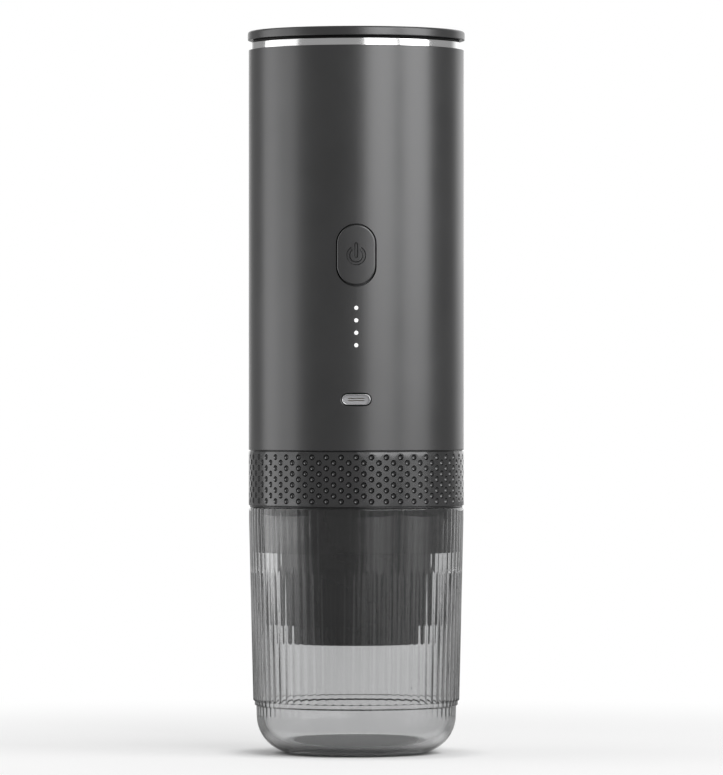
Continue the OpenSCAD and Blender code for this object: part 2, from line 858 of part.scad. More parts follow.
module outlet_tube() {
    color([0.9, 0.9, 0.92, 0.8])
    translate([0, pump_y, z_stub])
        rotate([0, 180, 0])
            hose(z_stub - hose_bend - z_deck_a0);
}

// Control board and what is on it

module main_board() {
    color([0.05, 0.35, 0.2])
    translate([-board_w / 2, board_y, z_deck_a1])
        cube([board_w, board_t, z_deck_b0 - z_deck_a1]);
}

module switch_body() {
    color([0.1, 0.1, 0.1])
    difference() {
        translate([-switch_w / 2, switch_face_y, z_button - switch_w / 2])
            cube([switch_w, switch_h, switch_w]);
        front_pin(plunger_r + run_gap, switch_face_y - eps, board_y - run_gap, z_button);
    }
}

module switch_plunger() {
    color([0.85, 0.85, 0.85])
    front_pin(plunger_r, plunger_tip_y, board_y - run_gap - button_travel - run_gap, z_button);
}

module power_button() {
    cap_w = button_w - 2 * run_gap;
    cap_h = button_h - 2 * run_gap;
    front_y = -(body_r + button_proud + eps);
    low_z = z_button - button_flange_h;
    high_z = z_button + button_flange_h;
    color([0.3, 0.3, 0.31]) {
        difference() {
            intersection() {
                front_stadium(cap_w, cap_h, front_y, 0, z_button);
                translate([0, button_face_r - body_r - button_proud, 0])
                    disc(button_face_r, low_z, high_z);
            }
            disc(flange_face_r - button_flange_t / 2, low_z - eps, high_z + eps);
        }
        intersection() {
            front_stadium(button_flange_w, button_flange_h, front_y, 0, z_button);
            ring(flange_face_r, flange_back_r, low_z, high_z);
        }
    }
}

module leds() {
    color([1, 1, 0.9])
    for (i = [0 : led_count - 1])
        translate([-led_d / 2, board_y - led_d / 2, z_led - i * led_pitch - led_d / 2])
            cube([led_d, led_d / 2, led_d]);
}

module light_guide() {
    back_y = -(house_bore_r - run_gap - guide_t);
    front_y = -sqrt(pow(house_bore_r, 2) - pow(guide_w / 2, 2)) + fit_gap;
    column_h = (led_count - 1) * led_pitch + guide_w;
    color([0.95, 0.95, 0.95]) {
        translate([-guide_w / 2, front_y, z_led + guide_w / 2 - column_h])
            cube([guide_w, back_y - front_y, column_h]);
        for (i = [0 : led_count - 1])
            front_pin(led_d / 2, -body_r, back_y, z_led - i * led_pitch);
    }
}

module usb_socket() {
    front_y = -(body_r - port_set);
    back_wall = 2 * port_wall;
    tongue_w = port_w - port_h;
    color([0.8, 0.8, 0.82]) {
        difference() {
            front_stadium(port_w, port_h, front_y, board_y, z_port);
            front_stadium(port_w - 2 * port_wall, port_h - 2 * port_wall, front_y - eps,
                board_y - back_wall, z_port);
        }
        translate([-tongue_w / 2, front_y + 2 * port_wall, z_port - tongue_t / 2])
            cube([tongue_w, board_y - port_wall - front_y - 2 * port_wall, tongue_t]);
    }
}

// Tank and heater

module heater_plate() {
    color([0.72, 0.73, 0.75])
    difference() {
        disc(heater_r, z_heater0, z_tank0);
        translate([hose_x, pump_y, 0])
            disc(stub_r + run_gap, z_heater0 - eps, z_tank0 + eps);
    }
}

module heating_element() {
    open_at = atan2(pump_y, hose_x);
    color([0.5, 0.48, 0.45])
    difference() {
        translate([0, 0, z_heater0 - rod_r + rod_flat])
            rotate([0, 0, open_at + rod_open / 2])
                rotate_extrude(angle = 360 - rod_open)
                    translate([rod_ring_r, 0])
                        circle(r = rod_r);
        disc(rod_ring_r + 2 * rod_r, z_heater0, z_heater0 + 2 * rod_r);
    }
}

module temperature_sensor() {
    color([0.85, 0.65, 0.3])
    disc(probe_r, z_heater0 - probe_h, z_heater0);
}

module water_tank() {
    color([0.78, 0.79, 0.8])
    difference() {
        union() {
            rotate_extrude()
                difference() {
                    union() {
                        translate([0, z_tank0])
                            rounded_foot(tank_r, z_tank1 - z_tank0, tank_fillet);
                        translate([0, z_tank_flange0])
                            square([tank_sleeve_r, tank_wall]);
                    }
                    translate([0, z_tank0 + tank_wall])
                        rounded_foot(tank_bore_r, z_tank1 - z_tank0, tank_fillet - tank_wall);
                }
            translate([hose_x, pump_y, 0])
                disc(stub_r, z_deck_b0 - hose_bend, z_tank0 + tank_wall / 2);
        }
        translate([hose_x, pump_y, 0])
            disc(channel_d / 2, z_deck_b0 - hose_bend - eps, z_tank0 + tank_wall + eps);
    }
}

module tank_sleeve() {
    color([0.3, 0.3, 0.32])
    ring(tank_sleeve_r, tank_sleeve_bore_r, z_deck_b1, z_tank_flange0);
}

module tank_seal() {
    color([0.6, 0.6, 0.6])
    ring(tank_sleeve_r, rim_bore_r, z_tank1, z_rim_spigot0);
}

// Housing and rim

module housing() {
    hole_y = -(body_r + button_proud + eps);
    color([0.27, 0.27, 0.28])
    difference() {
        ring(body_r, house_bore_r, z_house0, z_house1);
        disc(house_bore_r + step_w, z_house0 - eps, z_step);
        front_stadium(button_w, button_h, hole_y, -house_bore_r / 2, z_button);
        front_stadium(port_w + 2 * run_gap, port_h + 2 * run_gap, hole_y, -house_bore_r / 2, z_port);
        for (i = [0 : led_count - 1])
            front_pin(led_d / 2 + fit_gap, hole_y, -house_bore_r / 2, z_led - i * led_pitch);
    }
}

module rim_ring() {
    color([0.82, 0.82, 0.83])
    difference() {
        union() {
            disc(tank_sleeve_r, z_rim_spigot0, z_house1 + eps);
            disc(body_r - rim_inset, z_house1, z_rim1);
        }
        disc(rim_bore_r, z_rim_spigot0 - eps, z_rim1 + eps);
    }
}

// Lid

module lid_seal() {
    color([0.05, 0.05, 0.05])
    ring(lid_seal_r, plug_r + run_gap, z_rim1, z_lid0);
}

module lid_cap() {
    ledge_w = plug_wall / 3;
    color([0.27, 0.27, 0.28])
    difference() {
        union() {
            translate([0, 0, z_lid1])
                mirror([0, 0, 1])
                    rotate_extrude()
                        rounded_foot(lid_r, lid_t, lid_fillet);
            disc(plug_r, z_plug0, z_lid0 + eps);
        }
        disc(plug_bore_r, z_plug0 - eps, z_plug0 + liner_t);
        disc(plug_bore_r - ledge_w, z_plug0, z_lid1 - lid_t + lid_hollow);
    }
}

module lid_liner() {
    color([0.2, 0.2, 0.21])
    disc(plug_bore_r - fit_gap, z_plug0, z_plug0 + liner_t);
}

cup();
grip_sleeve();
brew_collar();
basket_holder();
coffee_basket();
filter_disc();
outlet_cap();
group_seal();
brew_head();
shower_screen();
screen_screw();
head_screws();
battery_frame();
battery_cells();
cell_tabs();
pump_damper();
pump_head();
pump_motor();
inlet_tube();
outlet_tube();
main_board();
switch_body();
switch_plunger();
power_button();
leds();
light_guide();
usb_socket();
heater_plate();
heating_element();
temperature_sensor();
water_tank();
tank_sleeve();
tank_seal();
housing();
rim_ring();
lid_seal();
lid_cap();
lid_liner();
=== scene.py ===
import math

import bmesh
import bpy
from mathutils import Matrix, Vector


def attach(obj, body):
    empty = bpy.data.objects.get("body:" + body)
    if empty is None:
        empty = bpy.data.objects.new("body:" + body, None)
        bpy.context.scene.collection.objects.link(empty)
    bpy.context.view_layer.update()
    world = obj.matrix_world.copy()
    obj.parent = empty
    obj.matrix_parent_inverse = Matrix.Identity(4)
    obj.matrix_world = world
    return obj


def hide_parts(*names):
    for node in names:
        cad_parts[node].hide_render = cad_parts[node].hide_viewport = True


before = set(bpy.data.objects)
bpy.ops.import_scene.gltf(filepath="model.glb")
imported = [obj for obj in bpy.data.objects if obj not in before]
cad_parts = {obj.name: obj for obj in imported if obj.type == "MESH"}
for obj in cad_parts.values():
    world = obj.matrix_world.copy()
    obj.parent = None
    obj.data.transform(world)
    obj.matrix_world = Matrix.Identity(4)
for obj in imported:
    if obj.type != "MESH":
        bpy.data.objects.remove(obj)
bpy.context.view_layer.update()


# Cup: the drinking cup that the whole brewer stands on. One injection-moulded piece of
# smoke-tinted clear plastic, with 72 flutes cut by a leaning round tool down to a ledge, a
# smooth bowl below the ledge and a tapered bore. The brew unit rests on its rim.
MM = 0.001
UP = Vector((0, 0, 1))
WELD, SPLIT = 0.002 * MM, 0.001 * MM
WIDE_ROUNDING, WIDE_STEPS, SMALL_STEPS = 3, 12, 4
NOISE_MIDDLE = (0.3, 0.7)


def profile_wire(bm, corners, closed):
    """Draws a half section from (radius, height, rounding) corners in mm and rounds its corners."""
    verts = [bm.verts.new((r * MM, 0, z * MM)) for r, z, _ in corners]
    for a, b in zip(verts, verts[1:] + (verts[:1] if closed else [])):
        bm.edges.new((a, b))
    for vert, (_, _, rounding) in zip(verts, corners):
        if rounding:
            bmesh.ops.bevel(bm, geom=[vert], offset=rounding * MM, offset_type="OFFSET",
                            segments=WIDE_STEPS if rounding > WIDE_ROUNDING else SMALL_STEPS, profile=0.5,
                            affect="VERTICES", material=-1)


def close_up(bm, dist=WELD):
    """Welds what meets and turns every face outwards."""
    bmesh.ops.remove_doubles(bm, verts=bm.verts, dist=dist)
    bmesh.ops.recalc_face_normals(bm, faces=bm.faces)


def repeat_round(bm, copies):
    """Repeats one sector round the axis until the ring is whole."""
    bmesh.ops.spin(bm, geom=bm.verts[:] + bm.edges[:] + bm.faces[:], cent=(0, 0, 0), axis=UP,
                   dvec=(0, 0, 0), angle=2 * math.pi - 2 * math.pi / copies, steps=copies - 1,
                   use_duplicate=True)


def make_piece(name, bm, finish, body, slot, *nodes, sharp=35):
    """Hands a mesh over to the body that carries it, in place of the solids it stands for."""
    for face in bm.faces:
        face.smooth = True
    for edge in bm.edges:
        edge.smooth = edge.calc_face_angle(math.pi) < math.radians(sharp)
    mesh = bpy.data.meshes.new(name)
    bm.to_mesh(mesh)
    bm.free()
    mesh.materials.append(finish)
    piece = bpy.data.objects.new(name, mesh)
    bpy.context.scene.collection.objects.link(piece)
    piece.modifiers.new("even shading", "WEIGHTED_NORMAL").keep_sharp = True
    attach(piece, body)
    if nodes:
        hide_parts(*nodes)
    return piece


def blank_finish(name, sockets):
    """A node material with constant values on its shader's own sockets."""
    material = bpy.data.materials.new(name)
    material.use_nodes = True
    shader = material.node_tree.nodes["Principled BSDF"]
    for socket, value in sockets.items():
        shader.inputs[socket].default_value = value
    return material, material.node_tree.nodes, material.node_tree.links, shader


def drifting_noise(nodes, links, size, detail=2.0):
    """Noise on the piece's own coordinates, with patches of the given size in mm."""
    place = nodes.new("ShaderNodeTexCoord")
    noise = nodes.new("ShaderNodeTexNoise")
    noise.inputs["Scale"].default_value = 1 / (size * MM)
    noise.inputs["Detail"].default_value = detail
    links.new(place.outputs["Object"], noise.inputs["Vector"])
    return noise.outputs["Fac"]


def tint_between(nodes, links, factor, deep, pale):
    """Runs a tone from deep to pale over the middle of a noise."""
    ramp = nodes.new("ShaderNodeValToRGB")
    for stop, where, tone in zip(ramp.color_ramp.elements, NOISE_MIDDLE, (deep, pale)):
        stop.position = where
        stop.color = (*tone, 1)
    links.new(factor, ramp.inputs["Fac"])
    return ramp.outputs["Color"]


def range_between(nodes, links, factor, low, high, start=NOISE_MIDDLE[0], end=NOISE_MIDDLE[1]):
    """Runs a number from low to high as a factor goes from start to end."""
    span = nodes.new("ShaderNodeMapRange")
    span.interpolation_type = "SMOOTHSTEP"
    span.inputs["From Min"].default_value = start
    span.inputs["From Max"].default_value = end
    span.inputs["To Min"].default_value = low
    span.inputs["To Max"].default_value = high
    links.new(factor, span.inputs["Value"])
    return span.outputs["Result"]


def raise_grain(nodes, links, factor, height, shader):
    """Lets a noise stand on the surface by a height in mm."""
    bump = nodes.new("ShaderNodeBump")
    bump.inputs["Strength"].default_value = 1.0
    bump.inputs["Distance"].default_value = height * MM
    links.new(factor, bump.inputs["Height"])
    links.new(bump.outputs["Normal"], shader.inputs["Normal"])


CUP_R, CUP_H = 33.9, 77.8
FLUTES, FLUTE_TOOL_R = 72, 3.4
LEDGE_FOOT, LEDGE_EDGE, LEDGE_TOP = (31.5, 14.9), ((32.1, 15.37), (32.1, 16.5)), (32.61, 16.9)
# Height, depth of the flutes there, and cuts up to the next height.
FLUTE_DEPTHS = ((16.9, 0.30, 10), (57.0, 0.13, 4), (58.6, 0.025, 14), (73.4, 0.0, 0))
BORE_TOP, BORE_FOOT, BORE_RIPPLE, FLOOR_T = (31.5, 77.8), (29.26, 12.4), 0.08, 2.5
BOWL_ROUND, BORE_ROUND, LIP_ROUND, LIP_REACH = 12, 9.6, 0.5, 0.3
OUTSIDE_R, STEPS_PER_FLUTE, SLACK = 32, 12, 0.01
FROST, FROST_R, CLEAR_R, HAZE = 0.4, 19.5, 21, 0.012

smoke, nodes, links, shader = blank_finish("smoke_clear", {"Transmission Weight": 1.0, "IOR": 1.49})
cloud = drifting_noise(nodes, links, size=14)
links.new(tint_between(nodes, links, cloud, (0.655, 0.658, 0.66), (0.675, 0.678, 0.68)),
          shader.inputs["Base Color"])
place = nodes.new("ShaderNodeTexCoord")
middle = nodes.new("ShaderNodeVectorMath")
middle.operation = "MULTIPLY"
middle.inputs[1].default_value = (1, 1, 0)
links.new(place.outputs["Object"], middle.inputs[0])
off_axis = nodes.new("ShaderNodeVectorMath")
off_axis.operation = "LENGTH"
links.new(middle.outputs[0], off_axis.inputs[0])
frosting = nodes.new("ShaderNodeMath")
frosting.operation = "MAXIMUM"
links.new(range_between(nodes, links, cloud, 0.0, HAZE), frosting.inputs[0])
links.new(range_between(nodes, links, off_axis.outputs["Value"], FROST, 0.0, FROST_R * MM, CLEAR_R * MM),
          frosting.inputs[1])
links.new(frosting.outputs[0], shader.inputs["Roughness"])
raise_grain(nodes, links, drifting_noise(nodes, links, size=6, detail=0.0), height=0.002, shader=shader)

bm = bmesh.new()
taper = (CUP_R - LEDGE_TOP[0]) / (FLUTE_DEPTHS[-1][0] - LEDGE_TOP[1])
wall = [(CUP_R - taper * (FLUTE_DEPTHS[-1][0] - z), z, 0) for z, _, _ in FLUTE_DEPTHS]
outside = [(0, 0, 0), (LEDGE_FOOT[0], 0, BOWL_ROUND), (*LEDGE_FOOT, 0),
           *((r, z, 0) for r, z in LEDGE_EDGE), *wall, (CUP_R, CUP_H, LIP_ROUND)]
inside = [(*BORE_TOP, LIP_ROUND), (*BORE_FOOT, 0), (BORE_FOOT[0], FLOOR_T, BORE_ROUND), (0, FLOOR_T, 0)]
profile_wire(bm, outside + inside, closed=False)
for (low, _, cuts), (high, _, _) in zip(FLUTE_DEPTHS, FLUTE_DEPTHS[1:]):
    fluted = [e for e in bm.edges
              if all(abs(v.co.z - z * MM) < SPLIT and v.co.x > OUTSIDE_R * MM
                     for v, z in zip(sorted(e.verts, key=lambda v: v.co.z), (low, high)))]
    bmesh.ops.subdivide_edges(bm, edges=fluted, cuts=cuts)


def flute_depth(height):
    """How deep the flutes are at a height in mm."""
    for (low, deep, _), (high, shallow, _) in zip(FLUTE_DEPTHS, FLUTE_DEPTHS[1:]):
        if height <= high:
            return deep + (shallow - deep) * (height - low) / (high - low)
    return 0.0


flute_turn = 2 * math.pi / FLUTES
bmesh.ops.spin(bm, geom=bm.verts[:] + bm.edges[:], cent=(0, 0, 0), axis=UP, dvec=(0, 0, 0),
               angle=flute_turn, steps=STEPS_PER_FLUTE)
for vert in bm.verts:
    height, reach = vert.co.z / MM, vert.co.xy.length / MM
    off_centre = math.atan2(vert.co.y, vert.co.x) - flute_turn / 2
    if BORE_FOOT[0] - SLACK < reach < BORE_TOP[0] + LIP_REACH and height > BORE_FOOT[1] - SLACK:
        vert.co.xy *= 1 + BORE_RIPPLE / reach * (1 - (off_centre / flute_turn * 2) ** 2)
    if reach < LEDGE_TOP[0] - SLACK or not LEDGE_TOP[1] - SLACK < height < FLUTE_DEPTHS[-1][0]:
        continue
    tool = reach + FLUTE_TOOL_R - flute_depth(max(height, LEDGE_TOP[1]))
    across = tool * math.sin(off_centre)
    cut = tool * math.cos(off_centre) - math.sqrt(FLUTE_TOOL_R ** 2 - across ** 2)
    floor_of_flute = min(reach, cut)
    vert.co.xy *= floor_of_flute / reach
    if height < LEDGE_TOP[1] + SLACK:
        vert.co.z -= (reach - floor_of_flute) * MM
bmesh.ops.rotate(bm, verts=bm.verts, cent=(0, 0, 0),
                 matrix=Matrix.Rotation(-flute_turn / 2, 3, "Z"))
repeat_round(bm, FLUTES)
close_up(bm)
make_piece("fluted_cup", bm, smoke, "cup", "clear_cup", "cup", sharp=30)


# Grip sleeve: the ring that the hand turns. Moulded plastic with a satin graphite coat and nine
# rows of 45 round dimples, set in a staggered pattern. It is pressed over the brew collar.
BODY_R = 34.0
SLEEVE_LOW, SLEEVE_HIGH, SLEEVE_BORE_R = 78.3, 95.5, 32.1
DIMPLE_COLUMNS, DIMPLE_ROWS, DIMPLE_PITCH, DIMPLE_SIDES = 45, 9, 1.72, 12
# Radius and depth of each ring of a dimple.
DIMPLE_RINGS = ((1.02, 0.0), (0.95, 0.0), (0.84, -0.3), (0.62, -0.6), (0.32, -0.78))
DIMPLE_DEPTH = 0.84
SLEEVE_EDGE, NEAR_FOOT = 0.3, 1.0
CELL_WELD, EDGE_WELD = 0.01 * MM, 0.02 * MM


def grained_finish(name, deep, pale, rough, grain, sockets=None):
    """A finish whose tone and roughness drift between two values, under a grain of a size and height."""
    material, nodes, links, shader = blank_finish(name, sockets or {})
    drift = drifting_noise(nodes, links, size=22, detail=3.0)
    links.new(tint_between(nodes, links, drift, deep, pale), shader.inputs["Base Color"])
    links.new(range_between(nodes, links, drift, *rough), shader.inputs["Roughness"])
    size, height = grain
    raise_grain(nodes, links, drifting_noise(nodes, links, size), height, shader)
    return material


graphite = grained_finish("graphite_coat", (0.088, 0.088, 0.089), (0.096, 0.096, 0.097),
                          rough=(0.29, 0.32), grain=(0.25, 0.0010), sockets={"Metallic": 0.9})
grip_coat = grained_finish("grip_coat", (0.084, 0.084, 0.085), (0.094, 0.094, 0.095),
                           rough=(0.17, 0.20), grain=(0.25, 0.0008), sockets={"Metallic": 0.9})


def loop_edges(verts):
    """The edges that run between the given verts."""
    among = set(verts)
    return list({e for v in verts for e in v.link_edges
                 if e.verts[0] in among and e.verts[1] in among})


def grip_cell(bm, along, up, dimpled):
    """One diamond of the grip on the flat: x runs along the ring, y up and z outwards."""
    half_w, half_h = math.pi * BODY_R / DIMPLE_COLUMNS, DIMPLE_PITCH
    border = bmesh.ops.create_circle(bm, segments=DIMPLE_SIDES, radius=1)["verts"]
    for vert in border:
        side = 1 - (math.atan2(abs(vert.co.y), abs(vert.co.x)) / (math.pi / 2))
        vert.co = Vector((math.copysign(side * half_w, vert.co.x),
                          math.copysign((1 - side) * half_h, vert.co.y), 0)) * MM
    cell = list(border)
    if dimpled:
        outer = border
        for radius, depth in DIMPLE_RINGS:
            ring = bmesh.ops.create_circle(bm, segments=DIMPLE_SIDES, radius=radius * MM,
                                           matrix=Matrix.Translation((0, 0, depth * MM)))["verts"]
            bmesh.ops.bridge_loops(bm, edges=loop_edges(outer) + loop_edges(ring))
            cell += ring
            outer = ring
        pit = bmesh.ops.contextual_create(bm, geom=loop_edges(outer))["faces"]
        poked = bmesh.ops.poke(bm, faces=pit)["verts"]
        poked[0].co.z = -DIMPLE_DEPTH * MM
        cell += poked
    else:
        bmesh.ops.contextual_create(bm, geom=loop_edges(border))
    bmesh.ops.translate(bm, verts=cell, vec=(along * MM, up * MM, 0))


def wrap_round(bm, radius):
    """Wraps a flat mesh onto the front: x along the ring, y up and z outwards from the radius."""
    for vert in bm.verts:
        turn = vert.co.x / (radius * MM) - math.pi / 2
        reach = radius * MM + vert.co.z
        vert.co = (reach * math.cos(turn), reach * math.sin(turn), vert.co.y)


def carry_on(bm, edges, path):
    """Extrudes a round edge loop along (radius, height) points in mm."""
    for radius, height in path:
        grown = bmesh.ops.extrude_edge_only(bm, edges=edges)["geom"]
        for vert in (g for g in grown if isinstance(g, bmesh.types.BMVert)):
            vert.co.xy *= radius * MM / vert.co.xy.length
            vert.co.z = height * MM
        edges = [g for g in grown if isinstance(g, bmesh.types.BMEdge)]


bm = bmesh.new()
half_column = math.pi * BODY_R / DIMPLE_COLUMNS
first_row = (SLEEVE_LOW + SLEEVE_HIGH) / 2 - (DIMPLE_ROWS - 1) / 2 * DIMPLE_PITCH
for row in range(-1, DIMPLE_ROWS + 1):
    grip_cell(bm, (row % 2) * half_column, first_row + row * DIMPLE_PITCH, 0 <= row < DIMPLE_ROWS)
wrap_round(bm, BODY_R)
repeat_round(bm, DIMPLE_COLUMNS)
bmesh.ops.remove_doubles(bm, verts=bm.verts, dist=CELL_WELD)
for height, outwards in ((SLEEVE_LOW + SLEEVE_EDGE, -1), (SLEEVE_HIGH - SLEEVE_EDGE, 1)):
    bmesh.ops.bisect_plane(bm, geom=bm.verts[:] + bm.edges[:] + bm.faces[:], dist=SPLIT,
                           plane_co=(0, 0, height * MM), plane_no=(0, 0, outwards), clear_outer=True)
quarter = [(SLEEVE_EDGE * math.sin(a), SLEEVE_EDGE * (1 - math.cos(a)))
           for a in (math.pi / 6, math.pi / 3, math.pi / 2)]
foot = [e for e in bm.edges if e.is_boundary and e.verts[0].co.z < (SLEEVE_LOW + NEAR_FOOT) * MM]
carry_on(bm, foot,
         [(BODY_R - inward, SLEEVE_LOW + SLEEVE_EDGE - down) for down, inward in quarter]
         + [(SLEEVE_BORE_R, SLEEVE_LOW), (SLEEVE_BORE_R, SLEEVE_HIGH)]
         + [(BODY_R - inward, SLEEVE_HIGH - SLEEVE_EDGE + down) for down, inward in reversed(quarter)]
         + [(BODY_R, SLEEVE_HIGH - SLEEVE_EDGE)])
close_up(bm, EDGE_WELD)
make_piece("dimpled_sleeve", bm, grip_coat, "brew_unit", "graphite", "grip_sleeve", sharp=32)


# Brew collar: the core of the brew unit, moulded in black glass-filled plastic. Its skirt hangs
# in the cup, six pads centre it there, its flange rests on the cup's rim, and a coarse two-start
# thread in its socket holds the main body.
THREAD_STEPS, THREAD_FADE, THREAD_END = 72, 0.7, 0.05
BREW_THREAD = {"low": 84.95, "high": 94.75, "lead": 6.0, "base": 1.2}
SKIRT_R, SKIRT_LOW, THROAT_R = 30.2, 63.5, 25.3
FLANGE_R, CORE_R, COLLAR_HIGH = 33.6, 32.0, 95.65
SOCKET_R, SOCKET_LOW = 26.6, 79.75
PADS, PAD_TURN, PAD_SIDES = 6, 3.5, 24
PAD_W, PAD_H, PAD_IN, PAD_OUT = 2.0, 3.7, 29.9, 31.07


def add_thread(bm, root, crest, low, high, lead, base, tip, starts=2, turn=0.0):
    """Adds screw ridges between two heights, tapering off at their ends. Sizes are in mm."""
    rise = high - low - base
    steps = round(THREAD_STEPS * rise / lead)
    for start in range(starts):
        old = set(bm.verts)
        first = turn + start * 2 * math.pi / starts
        corners = ((root, -base / 2), (crest, -tip / 2), (crest, tip / 2), (root, base / 2))
        section = [bm.verts.new((r * MM * math.cos(first), r * MM * math.sin(first),
                                 (low + base / 2 + z) * MM)) for r, z in corners]
        for a, b in zip(section, section[1:] + section[:1]):
            bm.edges.new((a, b))
        bmesh.ops.spin(bm, geom=section + loop_edges(section), cent=(0, 0, 0), axis=UP,
                       dvec=(0, 0, rise / steps * MM), angle=2 * math.pi * rise / lead, steps=steps)
        ridge = [v for v in bm.verts if v not in old]
        ends = [e for v in ridge for e in v.link_edges if e.is_boundary]
        bmesh.ops.holes_fill(bm, edges=list(set(ends)), sides=4)
        for vert in ridge:
            reach = vert.co.xy.length / MM
            if abs(reach - crest) < abs(reach - root):
                height = vert.co.z / MM
                inner = (height - low - base / 2 + tip / 2, high - base / 2 + tip / 2 - height)
                fade = max(min(1, min(inner) / THREAD_FADE), THREAD_END)
                vert.co.xy *= (root + (crest - root) * fade) / reach
    bmesh.ops.recalc_face_normals(bm, faces=bm.faces)


def turned(corners, steps, closed=True):
    """A solid turned once round the axis from its half section, with its seam and poles closed."""
    bm = bmesh.new()
    profile_wire(bm, corners, closed)
    bmesh.ops.spin(bm, geom=bm.verts[:] + bm.edges[:], cent=(0, 0, 0), axis=UP, dvec=(0, 0, 0),
                   angle=2 * math.pi, steps=steps, use_merge=True)
    close_up(bm)
    return bm


def face_front(bm, verts):
    """Turns what was built lying down to the front: its y to the top and its z outwards."""
    bmesh.ops.rotate(bm, verts=verts, cent=(0, 0, 0), matrix=Matrix.Rotation(math.pi / 2, 3, "X"))


black_plastic = grained_finish("black_filled_plastic", (0.011, 0.011, 0.0112), (0.014, 0.014, 0.0142),
                               rough=(0.22, 0.27), grain=(0.2, 0.0002),
                               sockets={"Specular IOR Level": 0.45})

bm = turned([(THROAT_R, SKIRT_LOW, 0.3), (SKIRT_R, SKIRT_LOW, 0.4), (SKIRT_R, CUP_H, 0),
             (FLANGE_R, CUP_H, 0.1), (FLANGE_R, SLEEVE_LOW, 0.1), (CORE_R, SLEEVE_LOW, 0),
             (CORE_R, SLEEVE_HIGH, 0), (FLANGE_R, SLEEVE_HIGH, 0), (FLANGE_R, COLLAR_HIGH, 0.05),
             (SOCKET_R, COLLAR_HIGH, 0.5), (SOCKET_R, SOCKET_LOW, 0), (THROAT_R, SOCKET_LOW, 0.2)],
            steps=192)
add_thread(bm, root=26.65, crest=26.0, tip=0.5, **BREW_THREAD)
for pad in range(PADS):
    arch = bmesh.ops.create_circle(bm, cap_ends=True, segments=PAD_SIDES, radius=PAD_W / 2 * MM,
                                   matrix=Matrix.Rotation(math.pi / PAD_SIDES, 4, "Z"))["verts"]
    for vert in arch:
        lower = vert.co.y < 0
        vert.co.y = (CUP_H - PAD_H + PAD_W / 2) * MM + vert.co.y if lower else CUP_H * MM
        vert.co.z = PAD_IN * MM
    grown = bmesh.ops.extrude_face_region(bm, geom=[arch[0].link_faces[0]])["geom"]
    front = [g for g in grown if isinstance(g, bmesh.types.BMVert)]
    bmesh.ops.translate(bm, verts=front, vec=(0, 0, (PAD_OUT - PAD_IN) * MM))
    arch += front
    face_front(bm, arch)
    turn = math.radians(PAD_TURN + pad * 360 / PADS)
    bmesh.ops.rotate(bm, verts=arch, cent=(0, 0, 0), matrix=Matrix.Rotation(turn, 3, "Z"))
close_up(bm)
make_piece("brew_collar_core", bm, black_plastic, "brew_unit", "dark_plastic", "brew_collar")


# Basket holder and outlet cap: two more black mouldings below the collar. The holder is a deep
# pot with drain holes, hung by its flange on the collar's ledge, and the cap snaps on under it
# and gathers the coffee into one outlet.
FLAT_WITHIN, CORNER_FROM = math.radians(0.4), math.radians(50)
OUTLET_R, CAP_R, CAP_BORE_R = 2.5, 22.0, 20.0
CAP_LOW, CAP_FLOOR, CAP_HIGH = 34.7, 36.7, 40.6


def eased_copy(node, width):
    """A welded copy of a solid with its corners broken by a width in mm."""
    bm = bmesh.new()
    bm.from_mesh(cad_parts[node].data)
    bmesh.ops.remove_doubles(bm, verts=bm.verts, dist=SPLIT)
    bmesh.ops.dissolve_limit(bm, angle_limit=FLAT_WITHIN, use_dissolve_boundaries=False,
                             verts=bm.verts, edges=bm.edges)
    corners = [e for e in bm.edges if e.calc_face_angle(0) > CORNER_FROM]
    bmesh.ops.bevel(bm, geom=corners, offset=width * MM, offset_type="OFFSET", segments=2,
                    profile=0.5, affect="EDGES", clamp_overlap=True, material=-1)
    return bm


make_piece("basket_pot", eased_copy("basket_holder", width=0.1), black_plastic,
           "brew_unit", "dark_plastic", "basket_holder")

bm = turned([(OUTLET_R, CAP_LOW, 0.5), (CAP_R, CAP_LOW, 0.4), (CAP_R, CAP_HIGH, 0.1),
             (CAP_BORE_R, CAP_HIGH, 0.1), (CAP_BORE_R, CAP_FLOOR, 0.6), (OUTLET_R, CAP_FLOOR, 0.3)],
            steps=192)
make_piece("coffee_outlet", bm, black_plastic, "brew_unit", "dark_plastic", "outlet_cap")


# Coffee basket and filter disc: a deep-drawn stainless cup with a rolled rim that lies in the
# holder, and a loose perforated disc on the lip at its bottom. Both are bead-blasted steel.
BASKET_R, BASKET_BORE_R, BASKET_HOLE_R, BASKET_RIM_R = 23.0, 22.4, 20.4, 25.9
BASKET_LOW, BASKET_FLOOR, RIM_UNDER, RIM_TOP = 45.9, 46.5, 81.75, 82.65
METAL = {"Metallic": 1.0}
blasted_steel = grained_finish("blasted_steel", (0.52, 0.52, 0.52), (0.60, 0.60, 0.60),
                               rough=(0.28, 0.38), grain=(0.2, 0.004), sockets=METAL)


def dress(finish, *solids):
    """Gives solids that are shown as they are a finish of their own."""
    for solid in solids:
        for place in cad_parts[solid].material_slots:
            place.material = finish


bm = turned([(BASKET_HOLE_R, BASKET_LOW, 0.1), (BASKET_R, BASKET_LOW, 1.0), (BASKET_R, RIM_UNDER, 0.3),
             (BASKET_RIM_R, RIM_UNDER, 0.3), (BASKET_RIM_R, RIM_TOP, 0.4), (BASKET_BORE_R, RIM_TOP, 0.5),
             (BASKET_BORE_R, BASKET_FLOOR, 0.5), (BASKET_HOLE_R, BASKET_FLOOR, 0.1)], steps=160)
make_piece("steel_basket", bm, blasted_steel, "brew_unit", "bright_steel", "coffee_basket")
dress(blasted_steel, "filter_disc")


# Group seal: the food-safe silicone washer between the basket's rim and the brew head. It is
# die-cut from brick-red sheet and stays with the head when the main body is unscrewed.
WASHER_BORE_R, WASHER_TOP, WASHER_EDGE = 22.8, 84.25, 0.3


